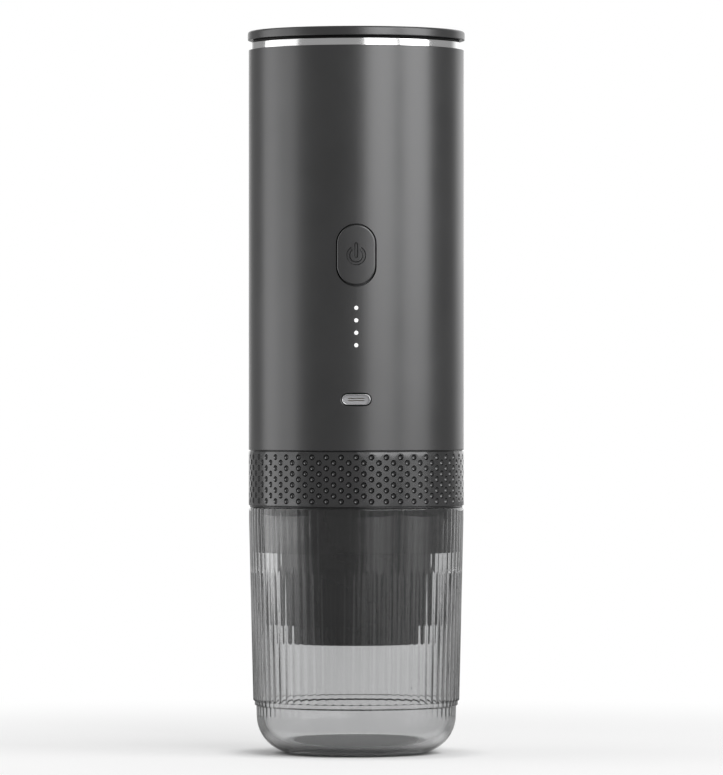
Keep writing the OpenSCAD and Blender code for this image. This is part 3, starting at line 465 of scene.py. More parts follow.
def washer(bore, radius, low, high, edge, steps):
    """A flat ring with softened edges, in mm."""
    return turned([(bore, low, edge), (radius, low, edge), (radius, high, edge), (bore, high, edge)], steps)


silicone = grained_finish("red_silicone", (0.17, 0.035, 0.025), (0.22, 0.045, 0.032),
                          rough=(0.45, 0.6), grain=(0.4, 0.006))
bm = washer(WASHER_BORE_R, BASKET_RIM_R, RIM_TOP, WASHER_TOP, WASHER_EDGE, steps=128)
make_piece("silicone_washer", bm, silicone, "brew_seal", "seal_rubber", "group_seal")


# Brew head: the lower end of the main body, one black moulding that carries everything above it.
# Its threaded boss screws into the collar, and a perforated steel shower screen is held in the
# boss by one pan-head screw. Four longer screws reach through it into the frame's posts.
NECK_LOW, NECK_HIGH, NECK_R, NECK_SLOPE = 84.8, 95.2, 25.65, 0.3
BOSS_SKIN_R, NECK_SLACK = 25.9, 0.1
head = eased_copy("brew_head", width=0.2)
for height in (NECK_LOW, NECK_LOW + NECK_SLOPE, NECK_HIGH - NECK_SLOPE, NECK_HIGH):
    bmesh.ops.bisect_plane(head, geom=head.verts[:] + head.edges[:] + head.faces[:], dist=SPLIT,
                           plane_co=(0, 0, height * MM), plane_no=UP)
for vert in head.verts:
    in_neck = (NECK_LOW + NECK_SLACK) * MM < vert.co.z < (NECK_HIGH - NECK_SLACK) * MM
    if in_neck and vert.co.xy.length > BOSS_SKIN_R * MM:
        vert.co.xy *= NECK_R * MM / vert.co.xy.length
make_piece("brew_head_plate", head, black_plastic, "main_body", "dark_plastic", "brew_head")
bm = bmesh.new()
add_thread(bm, root=25.5, crest=26.45, tip=0.6, turn=math.pi / 2, **BREW_THREAD)
make_piece("boss_thread", bm, black_plastic, "main_body", "dark_plastic")
dress(blasted_steel, "shower_screen")
dress(grained_finish("screw_steel", (0.42, 0.42, 0.43), (0.52, 0.52, 0.53),
                     rough=(0.22, 0.34), grain=(0.5, 0.003), sockets=METAL),
      "screen_screw", "head_screws")


# Inner frame and battery: a pale moulded cage with two decks and four posts, three shrink-wrapped
# cells in its rings, and nickel strips spot-welded across the cells' ends.
dress(grained_finish("pale_frame_plastic", (0.55, 0.55, 0.52), (0.62, 0.62, 0.59),
                     rough=(0.42, 0.55), grain=(0.5, 0.004)), "battery_frame")
dress(grained_finish("cell_shrink_wrap", (0.03, 0.12, 0.26), (0.04, 0.15, 0.31),
                     rough=(0.22, 0.32), grain=(2.5, 0.02)), "battery_cells")
dress(grained_finish("nickel_strip", (0.55, 0.53, 0.48), (0.64, 0.62, 0.57),
                     rough=(0.2, 0.34), grain=(0.6, 0.004), sockets=METAL), "cell_tabs")


# Pump, motor and hoses: a white acetal diaphragm pump on a soft black damper, a zinc-plated motor
# can above it, and two milky silicone hoses to the tank and to the brew head.
dress(grained_finish("damper_rubber", (0.02, 0.02, 0.02), (0.03, 0.03, 0.03),
                     rough=(0.6, 0.75), grain=(0.5, 0.01)), "pump_damper")
dress(grained_finish("acetal", (0.70, 0.70, 0.67), (0.76, 0.76, 0.73),
                     rough=(0.35, 0.45), grain=(0.6, 0.003)), "pump_head")
dress(grained_finish("zinc_plate", (0.45, 0.46, 0.48), (0.58, 0.59, 0.61),
                     rough=(0.25, 0.4), grain=(1.5, 0.004), sockets=METAL), "pump_motor")
dress(grained_finish("milky_silicone", (0.66, 0.66, 0.68), (0.74, 0.74, 0.76),
                     rough=(0.3, 0.42), grain=(0.8, 0.004),
                     sockets={"Subsurface Weight": 0.3}), "inlet_tube", "outlet_tube")


# Control board: a green solder-masked circuit board that slides into the frame's rails. It carries
# the push switch behind the button, four white diodes and the charging socket.
dress(grained_finish("solder_mask", (0.012, 0.085, 0.04), (0.02, 0.12, 0.06),
                     rough=(0.25, 0.4), grain=(1.2, 0.012)), "main_board")
dress(grained_finish("switch_case", (0.02, 0.02, 0.02), (0.03, 0.03, 0.03),
                     rough=(0.4, 0.5), grain=(0.3, 0.003)), "switch_body")
dress(grained_finish("diode_lens", (0.8, 0.8, 0.72), (0.88, 0.88, 0.8),
                     rough=(0.2, 0.3), grain=(0.4, 0.002)), "leds")
dress(grained_finish("plunger_nylon", (0.6, 0.6, 0.58), (0.68, 0.68, 0.66),
                     rough=(0.35, 0.5), grain=(0.3, 0.003)), "switch_plunger")


# Tank and heater: a deep-drawn stainless tank with a turned-out flange, in a dark plastic sleeve,
# on a cast aluminium plate with a bent heating rod brazed under it and a brass probe.
TANK_R, TANK_BORE_R, TANK_RIM_R = 29.7, 29.1, 31.8
TANK_LOW, TANK_FLOOR, TANK_RIM_LOW, TANK_RIM_HIGH = 176.05, 176.65, 218.9, 219.5
tank_steel = grained_finish("tank_steel", (0.56, 0.56, 0.56), (0.64, 0.64, 0.64),
                            rough=(0.18, 0.26), grain=(1.2, 0.003), sockets=METAL)
bm = turned([(0, TANK_LOW, 0), (TANK_R, TANK_LOW, 4.0), (TANK_R, TANK_RIM_LOW, 0.4),
             (TANK_RIM_R, TANK_RIM_LOW, 0.1), (TANK_RIM_R, TANK_RIM_HIGH, 0.1),
             (TANK_BORE_R, TANK_RIM_HIGH, 0.5), (TANK_BORE_R, TANK_FLOOR, 3.4), (0, TANK_FLOOR, 0)],
            steps=160, closed=False)
make_piece("steel_tank", bm, tank_steel, "main_body", "bright_steel", "water_tank")
dress(grained_finish("sleeve_plastic", (0.04, 0.04, 0.045), (0.05, 0.05, 0.055),
                     rough=(0.4, 0.5), grain=(0.4, 0.003)), "tank_sleeve")
dress(grained_finish("cast_aluminium", (0.42, 0.43, 0.44), (0.56, 0.57, 0.58),
                     rough=(0.4, 0.55), grain=(0.8, 0.02), sockets=METAL), "heater_plate")
dress(grained_finish("oxidised_rod", (0.20, 0.18, 0.16), (0.32, 0.30, 0.27),
                     rough=(0.4, 0.6), grain=(1.0, 0.006), sockets=METAL), "heating_element")
dress(grained_finish("probe_brass", (0.60, 0.42, 0.16), (0.68, 0.49, 0.20),
                     rough=(0.2, 0.32), grain=(0.5, 0.003), sockets=METAL), "temperature_sensor")
dress(grained_finish("grey_seal_rubber", (0.10, 0.10, 0.10), (0.13, 0.13, 0.13),
                     rough=(0.55, 0.7), grain=(0.4, 0.006)), "tank_seal")


# Housing: the tall outer tube. Moulded with a satin graphite coat, with openings for the button,
# the four lights and the charging port. It stands on the brew head's step, held by the steel band.
HOUSE_LOW, HOUSE_HIGH, HOUSE_BORE_R = 95.8, 222.1, 32.0
HOUSE_SEAT_R, HOUSE_SEAT_Z = 33.0, 97.3
BUTTON_Z, BUTTON_CUT_Z, BUTTON_CUT_W, BUTTON_CUT_H = 156.8, 156.7, 12.6, 19.5
TOP_LIGHT_Z, LIGHT_PITCH, LIGHTS, LIGHT_D, LIGHT_ROOM = 140.3, 3.87, 4, 1.1, 0.2
PORT_Z, PORT_W, PORT_H, PORT_ROOM = 111.8, 8.94, 3.26, 0.6
EDGE_FLARE, PORT_FLARE, CUT_BACK, CUT_FRONT = 0.06, 0.12, -4, 1
LOOP_SIDES = 64


def round_ended(bm, width, height, depth):
    """A loop with round ends on the flat, width along x and height along y, at a depth in z."""
    loop = bmesh.ops.create_circle(bm, segments=LOOP_SIDES, radius=min(width, height) / 2 * MM,
                                   matrix=Matrix.Rotation(math.pi / LOOP_SIDES, 4, "Z"))["verts"]
    for vert in loop:
        vert.co.y += math.copysign(max(height - width, 0) / 2 * MM, vert.co.y)
        vert.co.x += math.copysign(max(width - height, 0) / 2 * MM, vert.co.x)
        vert.co.z = depth * MM
    return loop


def round_ended_stack(bm, sections):
    """A closed shell through loops with round ends, given as (width, height, depth) in mm."""
    loops = [round_ended(bm, *section) for section in sections]
    for a, b in zip(loops, loops[1:]):
        bmesh.ops.bridge_loops(bm, edges=loop_edges(a) + loop_edges(b))
    for loop in (loops[0], loops[-1]):
        bmesh.ops.contextual_create(bm, geom=loop_edges(loop))
    bmesh.ops.recalc_face_normals(bm, faces=bm.faces)
    return [vert for loop in loops for vert in loop]


def wrap_front(bm, radius, verts):
    """Lays flat points on the front of the body, so that they keep their widths seen from there."""
    for vert in verts:
        turn = math.asin(vert.co.x / (radius * MM)) - math.pi / 2
        reach = radius * MM + vert.co.z
        vert.co = (reach * math.cos(turn), reach * math.sin(turn), vert.co.y)


def carve(bm, tool):
    """Cuts a closed tool out of a closed mesh."""
    benches = []
    for part in (bm, tool):
        mesh = bpy.data.meshes.new("bench")
        part.to_mesh(mesh)
        part.free()
        benches.append(bpy.data.objects.new("bench", mesh))
        bpy.context.scene.collection.objects.link(benches[-1])
    cutting = benches[0].modifiers.new("cut", "BOOLEAN")
    cutting.operation, cutting.solver, cutting.object = "DIFFERENCE", "EXACT", benches[1]
    cut = benches[0].evaluated_get(bpy.context.evaluated_depsgraph_get())
    carved = bmesh.new()
    carved.from_mesh(cut.to_mesh())
    cut.to_mesh_clear()
    for bench in benches:
        mesh = bench.data
        bpy.data.objects.remove(bench)
        bpy.data.meshes.remove(mesh)
    return carved


bm = turned([(BODY_R, HOUSE_LOW, 0.3), (BODY_R, HOUSE_HIGH, 0.15), (HOUSE_BORE_R, HOUSE_HIGH, 0),
             (HOUSE_BORE_R, HOUSE_SEAT_Z, 0), (HOUSE_SEAT_R, HOUSE_SEAT_Z, 0),
             (HOUSE_SEAT_R, HOUSE_LOW, 0.1)], steps=256)
tool = bmesh.new()
light_cut = LIGHT_D + LIGHT_ROOM
cuts = [(BUTTON_CUT_W, BUTTON_CUT_H, BUTTON_CUT_Z, EDGE_FLARE),
        (PORT_W + PORT_ROOM, PORT_H + PORT_ROOM, PORT_Z, PORT_FLARE)]
cuts += [(light_cut, light_cut, TOP_LIGHT_Z - i * LIGHT_PITCH, EDGE_FLARE) for i in range(LIGHTS)]
for width, height, level, flare in cuts:
    wide, tall = width + 4 * flare, height + 4 * flare
    points = round_ended_stack(tool, [(width, height, CUT_BACK), (width, height, -flare),
                                      (wide, tall, flare), (wide, tall, CUT_FRONT)])
    bmesh.ops.translate(tool, verts=points, vec=(0, level * MM, 0))
    wrap_front(tool, BODY_R, points)
bmesh.ops.recalc_face_normals(tool, faces=tool.faces)
make_piece("graphite_housing", carve(bm, tool), graphite, "main_body", "graphite", "housing",
           sharp=28)


# Power button: a separate graphite key with a gently curved face and a soft edge. A flange behind
# the wall keeps it in, and a power mark is engraved in its middle.
KEY_W, KEY_H, KEY_PROUD, KEY_FACE_R, KEY_ROUND = 12.0, 18.7, 0.6, 62.0, 0.5
KEY_FLANGE_W, KEY_FLANGE_H, KEY_BACK, KEY_FLANGE_Z, KEY_NECK_Z = 14.4, 21.1, -3.1, -2.3, -2.25
KEY_SLICES, KEY_SLICE_W = 7.0, 0.5
MARK_R, MARK_BAR, MARK_BAR_UP, MARK_DOWN = 2.48, 4.8, 1.6, 0.2
MARK_FLOOR, MARK_DEPTH, MARK_OVER, MARK_LEAN = 0.32, 0.55, 0.12, 0.45
MARK_GAP, MARK_STEPS = math.radians(33), 48


def bow_key(bm):
    """Bows the flat key: its flange follows the bore and its face the gentler curve."""
    for vert in bm.verts:
        across, depth = vert.co.x / MM, vert.co.z / MM
        body = -math.sqrt((BODY_R + depth) ** 2 - across ** 2)
        face = -(BODY_R + depth) + KEY_FACE_R - math.sqrt(KEY_FACE_R ** 2 - across ** 2)
        blend = min(1, max(0, 1 - depth / KEY_FLANGE_Z))
        vert.co = Vector((across, body + (face - body) * blend, vert.co.y / MM)) * MM


def slice_upright(bm, reach, step):
    """Cuts a flat mesh into upright strips, so that it can be bowed."""
    for i in range(-round(reach / step), round(reach / step) + 1):
        bmesh.ops.bisect_plane(bm, geom=bm.verts[:] + bm.edges[:] + bm.faces[:], dist=SPLIT,
                               plane_co=(i * step * MM, 0, 0), plane_no=(1, 0, 0))


bm = bmesh.new()
rounding = [(KEY_ROUND * (1 - math.cos(a)), KEY_ROUND * (1 - math.sin(a)))
            for a in (0, math.pi / 8, math.pi / 4, 3 * math.pi / 8, math.pi / 2)]
flange = [(KEY_FLANGE_W, KEY_FLANGE_H, KEY_BACK), (KEY_FLANGE_W, KEY_FLANGE_H, KEY_FLANGE_Z)]
face = [(KEY_W - 2 * inward, KEY_H - 2 * inward, KEY_PROUD - down) for inward, down in rounding]
round_ended_stack(bm, [*flange, (KEY_W, KEY_H, KEY_NECK_Z), *face])
bmesh.ops.translate(bm, verts=bm.verts, vec=(0, BUTTON_Z * MM, 0))
slice_upright(bm, KEY_SLICES, KEY_SLICE_W)
bow_key(bm)

tool = bmesh.new()
mark_top = MARK_FLOOR + MARK_LEAN * (MARK_DEPTH + MARK_OVER)
section = [tool.verts.new(((MARK_R + x) * MM, 0, (KEY_PROUD + z) * MM))
           for x, z in ((-MARK_FLOOR, -MARK_DEPTH), (MARK_FLOOR, -MARK_DEPTH),
                        (mark_top, MARK_OVER), (-mark_top, MARK_OVER))]
for a, b in zip(section, section[1:] + section[:1]):
    tool.edges.new((a, b))
bmesh.ops.rotate(tool, verts=tool.verts, cent=(0, 0, 0),
                 matrix=Matrix.Rotation(math.pi / 2 + MARK_GAP, 3, "Z"))
bmesh.ops.spin(tool, geom=tool.verts[:] + tool.edges[:], cent=(0, 0, 0), axis=UP, dvec=(0, 0, 0),
               angle=2 * (math.pi - MARK_GAP), steps=MARK_STEPS)
bmesh.ops.holes_fill(tool, edges=[e for e in tool.edges if e.is_boundary], sides=4)
bar = round_ended_stack(tool, [
    (2 * MARK_FLOOR, MARK_BAR - 2 * MARK_LEAN * MARK_DEPTH, KEY_PROUD - MARK_DEPTH),
    (2 * mark_top, MARK_BAR + 2 * MARK_LEAN * MARK_OVER, KEY_PROUD + MARK_OVER)])
bmesh.ops.translate(tool, verts=bar, vec=(0, MARK_BAR_UP * MM, 0))
bmesh.ops.translate(tool, verts=tool.verts, vec=(0, (BUTTON_Z - MARK_DOWN) * MM, 0))
bmesh.ops.recalc_face_normals(tool, faces=tool.faces)
bow_key(tool)
make_piece("power_key", carve(bm, tool), graphite, "button", "graphite", "power_button", sharp=30)


# Lights: four round pins of one clear light guide, flush with the housing, that show the charge.
# The diodes behind them make their ends glow white.
PIN_D = 0.86
# Diameter of a pin and how far behind the housing's face, from its back to its tip.
PIN_STEPS = ((LIGHT_D, -4.8), (LIGHT_D, -0.9), (PIN_D, -0.7), (PIN_D, -0.14), (PIN_D - 0.14, -0.04),
             (PIN_D - 0.5, 0.0))
GUIDE_SIZE, GUIDE_R = (4, 15.6, 3), 30.3
glow, nodes, links, shader = blank_finish("lit_guide", {
    "Roughness": 0.3, "Emission Strength": 0.8, "Emission Color": (1.0, 1.0, 1.0, 1.0)})
links.new(tint_between(nodes, links, drifting_noise(nodes, links, size=0.6),
                       (0.86, 0.87, 0.88), (0.92, 0.92, 0.92)), shader.inputs["Base Color"])
bm = bmesh.new()
for i in range(LIGHTS):
    pin = round_ended_stack(bm, [(across, across, depth) for across, depth in PIN_STEPS])
    bmesh.ops.translate(bm, verts=pin, vec=(0, (TOP_LIGHT_Z - i * LIGHT_PITCH) * MM, BODY_R * MM))
bar = bmesh.ops.create_cube(bm, size=1.0)["verts"]
bmesh.ops.scale(bm, verts=bar, vec=Vector(GUIDE_SIZE) * MM)
middle_light_z = TOP_LIGHT_Z - (LIGHTS - 1) / 2 * LIGHT_PITCH
bmesh.ops.translate(bm, verts=bar, vec=(0, middle_light_z * MM, GUIDE_R * MM))
face_front(bm, bm.verts)
make_piece("charge_lights", bm, glow, "main_body", "light", "light_guide")


# Charging port: a drawn steel shell with a rolled lip around a moulded tongue with contact strips,
# soldered to the board and set a little back in its opening.
INSERT_LESS, INSERT_BACK, INSERT_FRONT = 0.62, 27.5, 33.0
SLIT_W, SLIT_H, SLIT_UP, SLIT_BACK, SLIT_FRONT = 5.2, 0.26, 0.35, 31.0, 34.0
CONTACTS, CONTACT_PITCH, CONTACT_SIZE = 12, 0.42, (0.24, 1.0, 0.06)
CONTACT_R, CONTACT_UP = 31.4, 0.28
# How much narrower than the port, and how far from the body's axis, over the rolled lip.
SHELL_STEPS = ((0, 26.3), (0, 33.4), (0.1, 33.55), (0.3, 33.6), (0.5, 33.55), (0.6, 33.4), (0.6, 27.0))
port_steel = grained_finish("port_shell_steel", (0.62, 0.62, 0.63), (0.70, 0.70, 0.71),
                            rough=(0.25, 0.35), grain=(0.3, 0.002), sockets=METAL)
bm = bmesh.new()
round_ended_stack(bm, [(PORT_W - less, PORT_H - less, reach) for less, reach in SHELL_STEPS])
bmesh.ops.translate(bm, verts=bm.verts, vec=(0, PORT_Z * MM, 0))
face_front(bm, bm.verts)
make_piece("port_shell", bm, port_steel, "main_body", "steel", "usb_socket")

insert_plastic = grained_finish("port_insert_plastic", (0.29, 0.29, 0.30), (0.34, 0.34, 0.35),
                                rough=(0.35, 0.45), grain=(0.3, 0.002))
bm = bmesh.new()
round_ended_stack(bm, [(PORT_W - INSERT_LESS, PORT_H - INSERT_LESS, reach)
                       for reach in (INSERT_BACK, INSERT_FRONT)])
tool = bmesh.new()
for side in (-1, 1):
    slit = round_ended_stack(tool, [(SLIT_W, SLIT_H, reach) for reach in (SLIT_BACK, SLIT_FRONT)])
    bmesh.ops.translate(tool, verts=slit, vec=(0, side * SLIT_UP * MM, 0))
insert = carve(bm, tool)
bmesh.ops.translate(insert, verts=insert.verts, vec=(0, PORT_Z * MM, 0))
face_front(insert, insert.verts)
make_piece("port_insert", insert, insert_plastic, "main_body", "dark_plastic")

contact_gold = grained_finish("contact_gold", (0.72, 0.53, 0.22), (0.80, 0.60, 0.28),
                              rough=(0.2, 0.3), grain=(0.3, 0.001), sockets=METAL)
bm = bmesh.new()
for i in range(CONTACTS):
    along = (i - (CONTACTS - 1) / 2) * CONTACT_PITCH
    for side in (-1, 1):
        strip = bmesh.ops.create_cube(bm, size=1.0)["verts"]
        bmesh.ops.scale(bm, verts=strip, vec=Vector(CONTACT_SIZE) * MM)
        bmesh.ops.translate(bm, verts=strip,
                            vec=Vector((along, -CONTACT_R, PORT_Z + side * CONTACT_UP)) * MM)
make_piece("port_contacts", bm, contact_gold, "main_body", "brass")


# Steel band: a turned and polished stainless ring at the top of the main body. Its spigot is
# pressed into the housing over the tank's flange, and two short ridges in its bore take the lid.
LID_THREAD = {"lead": 5.0, "base": 0.9}
BAND_R, BAND_BORE_R, BAND_HIGH = 33.4, 30.2, 224.4
SPIGOT_R, SPIGOT_LOW = 31.8, 220.0
polished_steel = grained_finish("polished_steel", (0.74, 0.74, 0.74), (0.80, 0.80, 0.80),
                                rough=(0.10, 0.16), grain=(0.8, 0.0008), sockets=METAL)
bm = turned([(BAND_BORE_R, SPIGOT_LOW, 0.2), (SPIGOT_R, SPIGOT_LOW, 0.1), (SPIGOT_R, HOUSE_HIGH, 0),
             (BAND_R, HOUSE_HIGH, 0.1), (BAND_R, BAND_HIGH, 0.3), (BAND_BORE_R, BAND_HIGH, 0.4)], steps=192)
add_thread(bm, root=30.25, crest=28.65, low=220.3, high=223.9, tip=0.5, **LID_THREAD)
make_piece("steel_band", bm, polished_steel, "main_body", "bright_steel", "rim_ring")


# Lid seal: a black silicone ring under the lid that closes the tank against the steel band. It is
# stretched round the neck of the lid's plug. Its black is deeper and duller than silicone's own: painted
# shade for the gap under the lid.
SEAL_R, SEAL_BORE_R, SEAL_EDGE, LID_LOW = 32.6, 29.2, 0.2, 225.2
# Painted shade: near-black with little shine, so that the seal reads as the shadow in the gap under the
# lid.
black_silicone_gap_shade = grained_finish("black_silicone_gap_shade", (0.004, 0.004, 0.004), (0.006, 0.006, 0.006),
                                rough=(0.5, 0.62), grain=(0.4, 0.004),
                                sockets={"Specular IOR Level": 0.15})
bm = washer(SEAL_BORE_R, SEAL_R, BAND_HIGH, LID_LOW, SEAL_EDGE, steps=160)
make_piece("lid_washer", bm, black_silicone_gap_shade, "lid_seal", "seal_rubber", "lid_seal")


# Lid: a flat graphite-coated cap with a rounded upper edge. A hollow plug with a two-start thread
# screws into the steel band, and a plain disc closes the plug from below.
LID_R, LID_TOP, LID_UNDER = 34.3, 228.0, 226.0
PLUG_R, PLUG_BORE_R, PLUG_LOW, PLUG_FOOT = 28.9, 26.23, 212.8, 213.6
SHANK_R, SHANK_LOW, SHANK_HIGH = 28.25, 214.0, 224.0
LINER_R, LINER_SEAT_R, LINER_TOP = 26.8, 26.9, 214.3
DISH_R, DISH_EDGE_R, DISH_Z = 20.0, 21.0, 213.0
bm = turned([(0, LID_TOP, 0), (LID_R, LID_TOP, 0.8), (LID_R, LID_LOW, 0.25), (PLUG_R, LID_LOW, 0),
             (PLUG_R, BAND_HIGH, 0.2), (SHANK_R, SHANK_HIGH, 0.2), (SHANK_R, SHANK_LOW, 0.2),
             (PLUG_R, PLUG_FOOT, 0.2), (PLUG_R, PLUG_LOW, 0.3), (LINER_SEAT_R, PLUG_LOW, 0.2),
             (LINER_SEAT_R, LINER_TOP, 0), (PLUG_BORE_R, LINER_TOP, 0), (PLUG_BORE_R, LID_UNDER, 0.3),
             (0, LID_UNDER, 0)], steps=256, closed=False)
add_thread(bm, root=28.2, crest=29.0, low=214.05, high=223.75, tip=0.4, **LID_THREAD)
make_piece("screw_lid", bm, graphite, "lid", "graphite", "lid_cap")

bm = turned([(0, DISH_Z, 0), (DISH_R, DISH_Z, 0), (DISH_EDGE_R, PLUG_LOW, 0), (LINER_R, PLUG_LOW, 0.2),
             (LINER_R, LINER_TOP, 0), (0, LINER_TOP, 0)], steps=160, closed=False)
make_piece("plug_disc", bm, black_plastic, "lid", "dark_plastic", "lid_liner")


# Studio: a pale floor that keeps the shadow, with a painted shadow under the cup and painted pools of light
# that show only where the floor is mirrored, a white surround behind, two tall soft boxes to the right and
# two lower ones close by to the left, and a long lens level with the middle of the brewer.
FLOOR_SIZE, FLOOR_DROP = 4.0, 0.05
UNDER_CUP, BESIDE_CUP, SHADOW_END, SHADOW_GONE = 0.030, 0.046, 0.06, 0.35
BASE_DARK, BASE_LIT, NEAR_FLOOR, FAR_FLOOR = 0.022, 0.0245, 0.06, 0.15
WHITE_BESIDE, PAINTED_POOL_GAIN, BENT_SHARE = 0.5, 2.0, 0.9
NONE_MET, THREE_MET = 0.5, 3.5
# Distance from the axis in metres, or degrees to the right of the camera, and the tone there. The first
# table is the floor's colour with painted shade: dark under the cup for its shadow, pale beside it, darker
# far out. The other two give painted pools of light, bright towards the soft boxes, seen only in
# reflections.
FLOOR_TONES_PAINTED_SHADE = ((0.020, 0.12), (0.026, 0.92), (0.12, 0.92), (0.6, 0.4))
PAINTED_POOL_REACH = ((0.10, 0.0), (0.2, 0.75), (0.5, 0.85), (0.9, 1.0))
PAINTED_POOL_TURNS = ((-120, 0.2), (-108, 0.75), (-90, 0.6), (-70, 0.75), (-58, 0.4), (-48, 0.2), (-5, 0.2),
               (8, 0.3), (23, 0.65), (34, 0.5), (46, 0.25), (56, 0.5), (67, 0.7), (78, 0.5), (90, 0.25),
               (105, 0.25), (115, 0.2))
SURROUND_DARK, SURROUND_WHITE, BACKDROP_TURN = 0.36, 1.35, math.radians(12)
BACKDROP_EDGE, BACKDROP_FULL = 0.74, 0.93
SKY_LOW, SKY_HIGH, SKY_DARK = 0.1, 0.35, 0.05
LENS_MM, SENSOR_MM, CAMERA_BACK, CAMERA_HIGH = 284.9, 36.0, 1.94, 0.116
SHIFT_X, SHIFT_Y, PICTURE_H, NEAREST, FARTHEST = 5.25, -1.5, 775, 0.05, 50

paper = bpy.data.materials.new("pale_floor")
paper.use_nodes = True
nodes, links = paper.node_tree.nodes, paper.node_tree.links
nodes.remove(nodes["Principled BSDF"])
matt = nodes.new("ShaderNodeBsdfDiffuse")
white = nodes.new("ShaderNodeEmission")


def weigh(nodes, links, how, first, second):
    """Joins two numbers, each from a node or as it stands."""
    step = nodes.new("ShaderNodeMath")
    step.operation = how
    for place, value in zip(step.inputs, (first, second)):
        if isinstance(value, float):
            place.default_value = value
        else:
            links.new(value, place)
    return step.outputs[0]


def stepped_tone(nodes, links, factor, stops):
    """Runs a tone through (place, tone) stops, with places between 0 and 1."""
    ramp = nodes.new("ShaderNodeValToRGB")
    while len(ramp.color_ramp.elements) < len(stops):
        ramp.color_ramp.elements.new(1.0)
    for stop, (where, tone) in zip(ramp.color_ramp.elements, stops):
        stop.position = where
        stop.color = (tone, tone, tone, 1)
    links.new(factor, ramp.inputs["Fac"])
    return ramp.outputs["Color"]


place = nodes.new("ShaderNodeTexCoord")
away = nodes.new("ShaderNodeVectorMath")
away.operation = "LENGTH"
links.new(place.outputs["Object"], away.inputs[0])
distance = away.outputs["Value"]
# The floor's colour carries a painted shadow: dark close under the cup, and darker far out.
links.new(stepped_tone(nodes, links, distance, FLOOR_TONES_PAINTED_SHADE), matt.inputs["Color"])
spread = weigh(nodes, links, "ADD",
               range_between(nodes, links, distance, 0.0, WHITE_BESIDE, UNDER_CUP, BESIDE_CUP),
               range_between(nodes, links, distance, 0.0, 1 - WHITE_BESIDE, SHADOW_END, SHADOW_GONE))
path = nodes.new("ShaderNodeLightPath")


def seen_through(nodes, links, path):
    """One for rays that come through the cup without having met anything else."""
    met = weigh(nodes, links, "ADD", path.outputs["Glossy Depth"], path.outputs["Diffuse Depth"])
    return weigh(nodes, links, "MULTIPLY", path.outputs["Is Transmission Ray"],
                 weigh(nodes, links, "LESS_THAN", met, NONE_MET))


def bent_in_wall(nodes, links, path):
    """A share of the rays that turned back once inside the cup's wall and never reached its core."""
    near = weigh(nodes, links, "LESS_THAN", path.outputs["Transmission Depth"], THREE_MET)
    bare = weigh(nodes, links, "LESS_THAN", path.outputs["Diffuse Depth"], NONE_MET)
    return weigh(nodes, links, "MULTIPLY", weigh(nodes, links, "MULTIPLY", near, bare),
                 weigh(nodes, links, "MULTIPLY", path.outputs["Is Transmission Ray"], BENT_SHARE))


sides = nodes.new("ShaderNodeSeparateXYZ")
links.new(place.outputs["Object"], sides.inputs[0])
turn = weigh(nodes, links, "ARCTAN2", sides.outputs["X"],
             weigh(nodes, links, "MULTIPLY", sides.outputs["Y"], -1.0))
turn = weigh(nodes, links, "ADD", weigh(nodes, links, "DIVIDE", turn, 2 * math.pi), 0.5)
pool_turn_stops = [(0.5 + degrees / 360, tone) for degrees, tone in PAINTED_POOL_TURNS]
# Painted pools of light on the floor, bright towards the soft boxes, which show only in reflections.
painted_pools = weigh(nodes, links, "MULTIPLY", stepped_tone(nodes, links, turn, pool_turn_stops),
              stepped_tone(nodes, links, distance, PAINTED_POOL_REACH))
mirrored = weigh(nodes, links, "MULTIPLY", path.outputs["Is Glossy Ray"],
                 weigh(nodes, links, "SUBTRACT", 1.0, seen_through(nodes, links, path)))
# The painted pools of light set how strongly the floor glows for mirrored rays.
painted_pool_glow = weigh(nodes, links, "MULTIPLY", mirrored,
              weigh(nodes, links, "ADD", weigh(nodes, links, "MULTIPLY", painted_pools, PAINTED_POOL_GAIN), -1.0))
links.new(weigh(nodes, links, "ADD", painted_pool_glow, 1.0), white.inputs["Strength"])
shown = weigh(nodes, links, "MAXIMUM", path.outputs["Is Camera Ray"], mirrored)
# Seen through the cup, the floor turns white except close under it, where the matt floor with its painted
# shadow shows.
under = weigh(nodes, links, "MAXIMUM",
              weigh(nodes, links, "MULTIPLY", seen_through(nodes, links, path),
                    range_between(nodes, links, distance, 0.0, 1.0, BASE_DARK, BASE_LIT)),
              weigh(nodes, links, "MULTIPLY", bent_in_wall(nodes, links, path),
                    range_between(nodes, links, distance, 0.0, 1.0, NEAR_FLOOR, FAR_FLOOR)))
blend = nodes.new("ShaderNodeMixShader")
links.new(weigh(nodes, links, "MAXIMUM", weigh(nodes, links, "MULTIPLY", shown, spread), under),
          blend.inputs[0])
links.new(matt.outputs[0], blend.inputs[1])
links.new(white.outputs[0], blend.inputs[2])
links.new(blend.outputs[0], nodes["Material Output"].inputs["Surface"])

bm = bmesh.new()
bmesh.ops.create_grid(bm, x_segments=1, y_segments=1, size=FLOOR_SIZE,
                      matrix=Matrix.Translation((0, 0, -FLOOR_DROP * MM)))
mesh = bpy.data.meshes.new("floor")
bm.to_mesh(mesh)
bm.free()
mesh.materials.append(paper)
floor = bpy.data.objects.new("floor", mesh)
bpy.context.scene.collection.objects.link(floor)

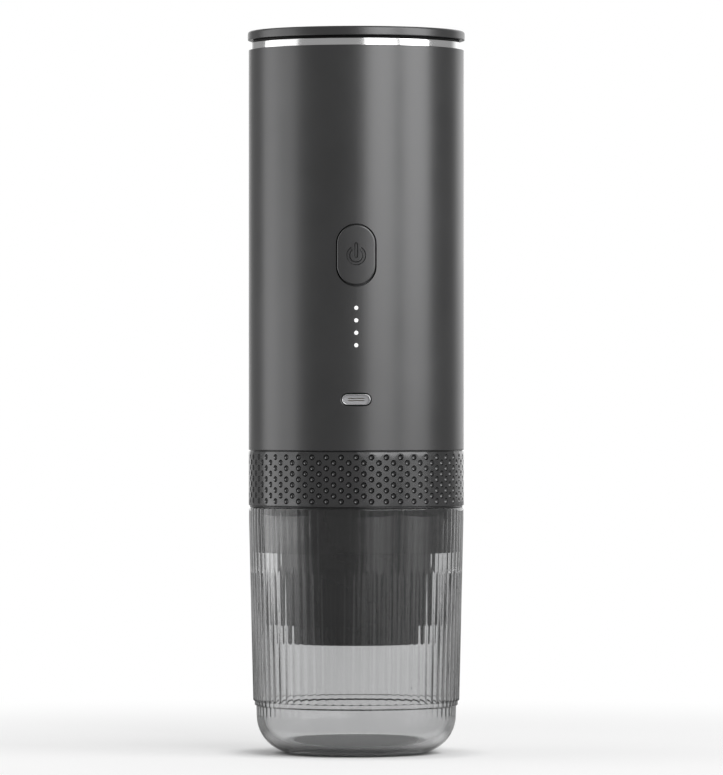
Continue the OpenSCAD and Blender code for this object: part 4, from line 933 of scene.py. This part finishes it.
world = bpy.data.worlds.new("studio")
world.use_nodes = True
bpy.context.scene.world = world
nodes, links = world.node_tree.nodes, world.node_tree.links
around = nodes.new("ShaderNodeTexCoord")
behind = nodes.new("ShaderNodeVectorMath")
behind.operation = "DOT_PRODUCT"
behind.inputs[1].default_value = (math.sin(BACKDROP_TURN), math.cos(BACKDROP_TURN), 0)
links.new(around.outputs["Generated"], behind.inputs[0])
lit = nodes["Background"]
lit.inputs["Color"].default_value = (1, 1, 1, 1)
links.new(range_between(nodes, links, behind.outputs["Value"], SURROUND_DARK, SURROUND_WHITE,
                        BACKDROP_EDGE, BACKDROP_FULL), lit.inputs["Strength"])
white = nodes.new("ShaderNodeBackground")
white.inputs["Color"].default_value = (1, 1, 1, 1)
path = nodes.new("ShaderNodeLightPath")
level = nodes.new("ShaderNodeSeparateXYZ")
links.new(around.outputs["Generated"], level.inputs[0])
links.new(weigh(nodes, links, "MAXIMUM", path.outputs["Is Camera Ray"],
                range_between(nodes, links, level.outputs["Z"], 1.0, SKY_DARK, SKY_LOW, SKY_HIGH)),
          white.inputs["Strength"])
blend = nodes.new("ShaderNodeMixShader")
through_cup = weigh(nodes, links, "MAXIMUM", seen_through(nodes, links, path),
                    bent_in_wall(nodes, links, path))
links.new(weigh(nodes, links, "MAXIMUM", path.outputs["Is Camera Ray"], through_cup), blend.inputs[0])
links.new(lit.outputs[0], blend.inputs[1])
links.new(white.outputs[0], blend.inputs[2])
links.new(blend.outputs[0], nodes["World Output"].inputs["Surface"])


def soft_box(name, turn, distance, width, low, high, radiance):
    """An upright soft box: turn is in degrees to the right of the camera, sizes are in metres."""
    lamp = bpy.data.lights.new(name, "AREA")
    lamp.shape = "RECTANGLE"
    lamp.size, lamp.size_y = width, high - low
    lamp.energy = radiance * math.pi * width * (high - low)
    box = bpy.data.objects.new(name, lamp)
    towards = Vector((math.sin(math.radians(turn)), -math.cos(math.radians(turn)), 0))
    box.location = towards * distance + UP * (low + high) / 2
    box.rotation_euler = (-towards).to_track_quat("-Z", "Y").to_euler()
    bpy.context.scene.collection.objects.link(box)


for name, turn, width in (("front_right_box", 26.5, 0.592), ("right_box", 66.5, 0.631)):
    soft_box(name, turn, distance=1.0, width=width, low=0.13, high=1.6, radiance=3.1)
for part, low, high, share in (("foot", 0.03, 0.1, 0.72), ("panel", 0.1, 0.6, 1.0)):
    soft_box("left_box_" + part, turn=-101, distance=0.42, width=0.194, low=low, high=high,
             radiance=1.5 * share)
    soft_box("left_front_box_" + part, turn=-76, distance=0.42, width=0.178, low=low, high=high,
             radiance=0.97 * share)

lens = bpy.data.cameras.new("camera")
lens.lens, lens.sensor_width = LENS_MM, SENSOR_MM
lens.shift_x, lens.shift_y = SHIFT_X / PICTURE_H, SHIFT_Y / PICTURE_H
lens.clip_start, lens.clip_end = NEAREST, FARTHEST
camera = bpy.data.objects.new("camera", lens)
camera.location = (0, -CAMERA_BACK, CAMERA_HIGH)
camera.rotation_euler = (math.pi / 2, 0, 0)
bpy.context.scene.collection.objects.link(camera)
bpy.context.scene.camera = camera
bpy.context.scene.view_settings.view_transform = "Standard"
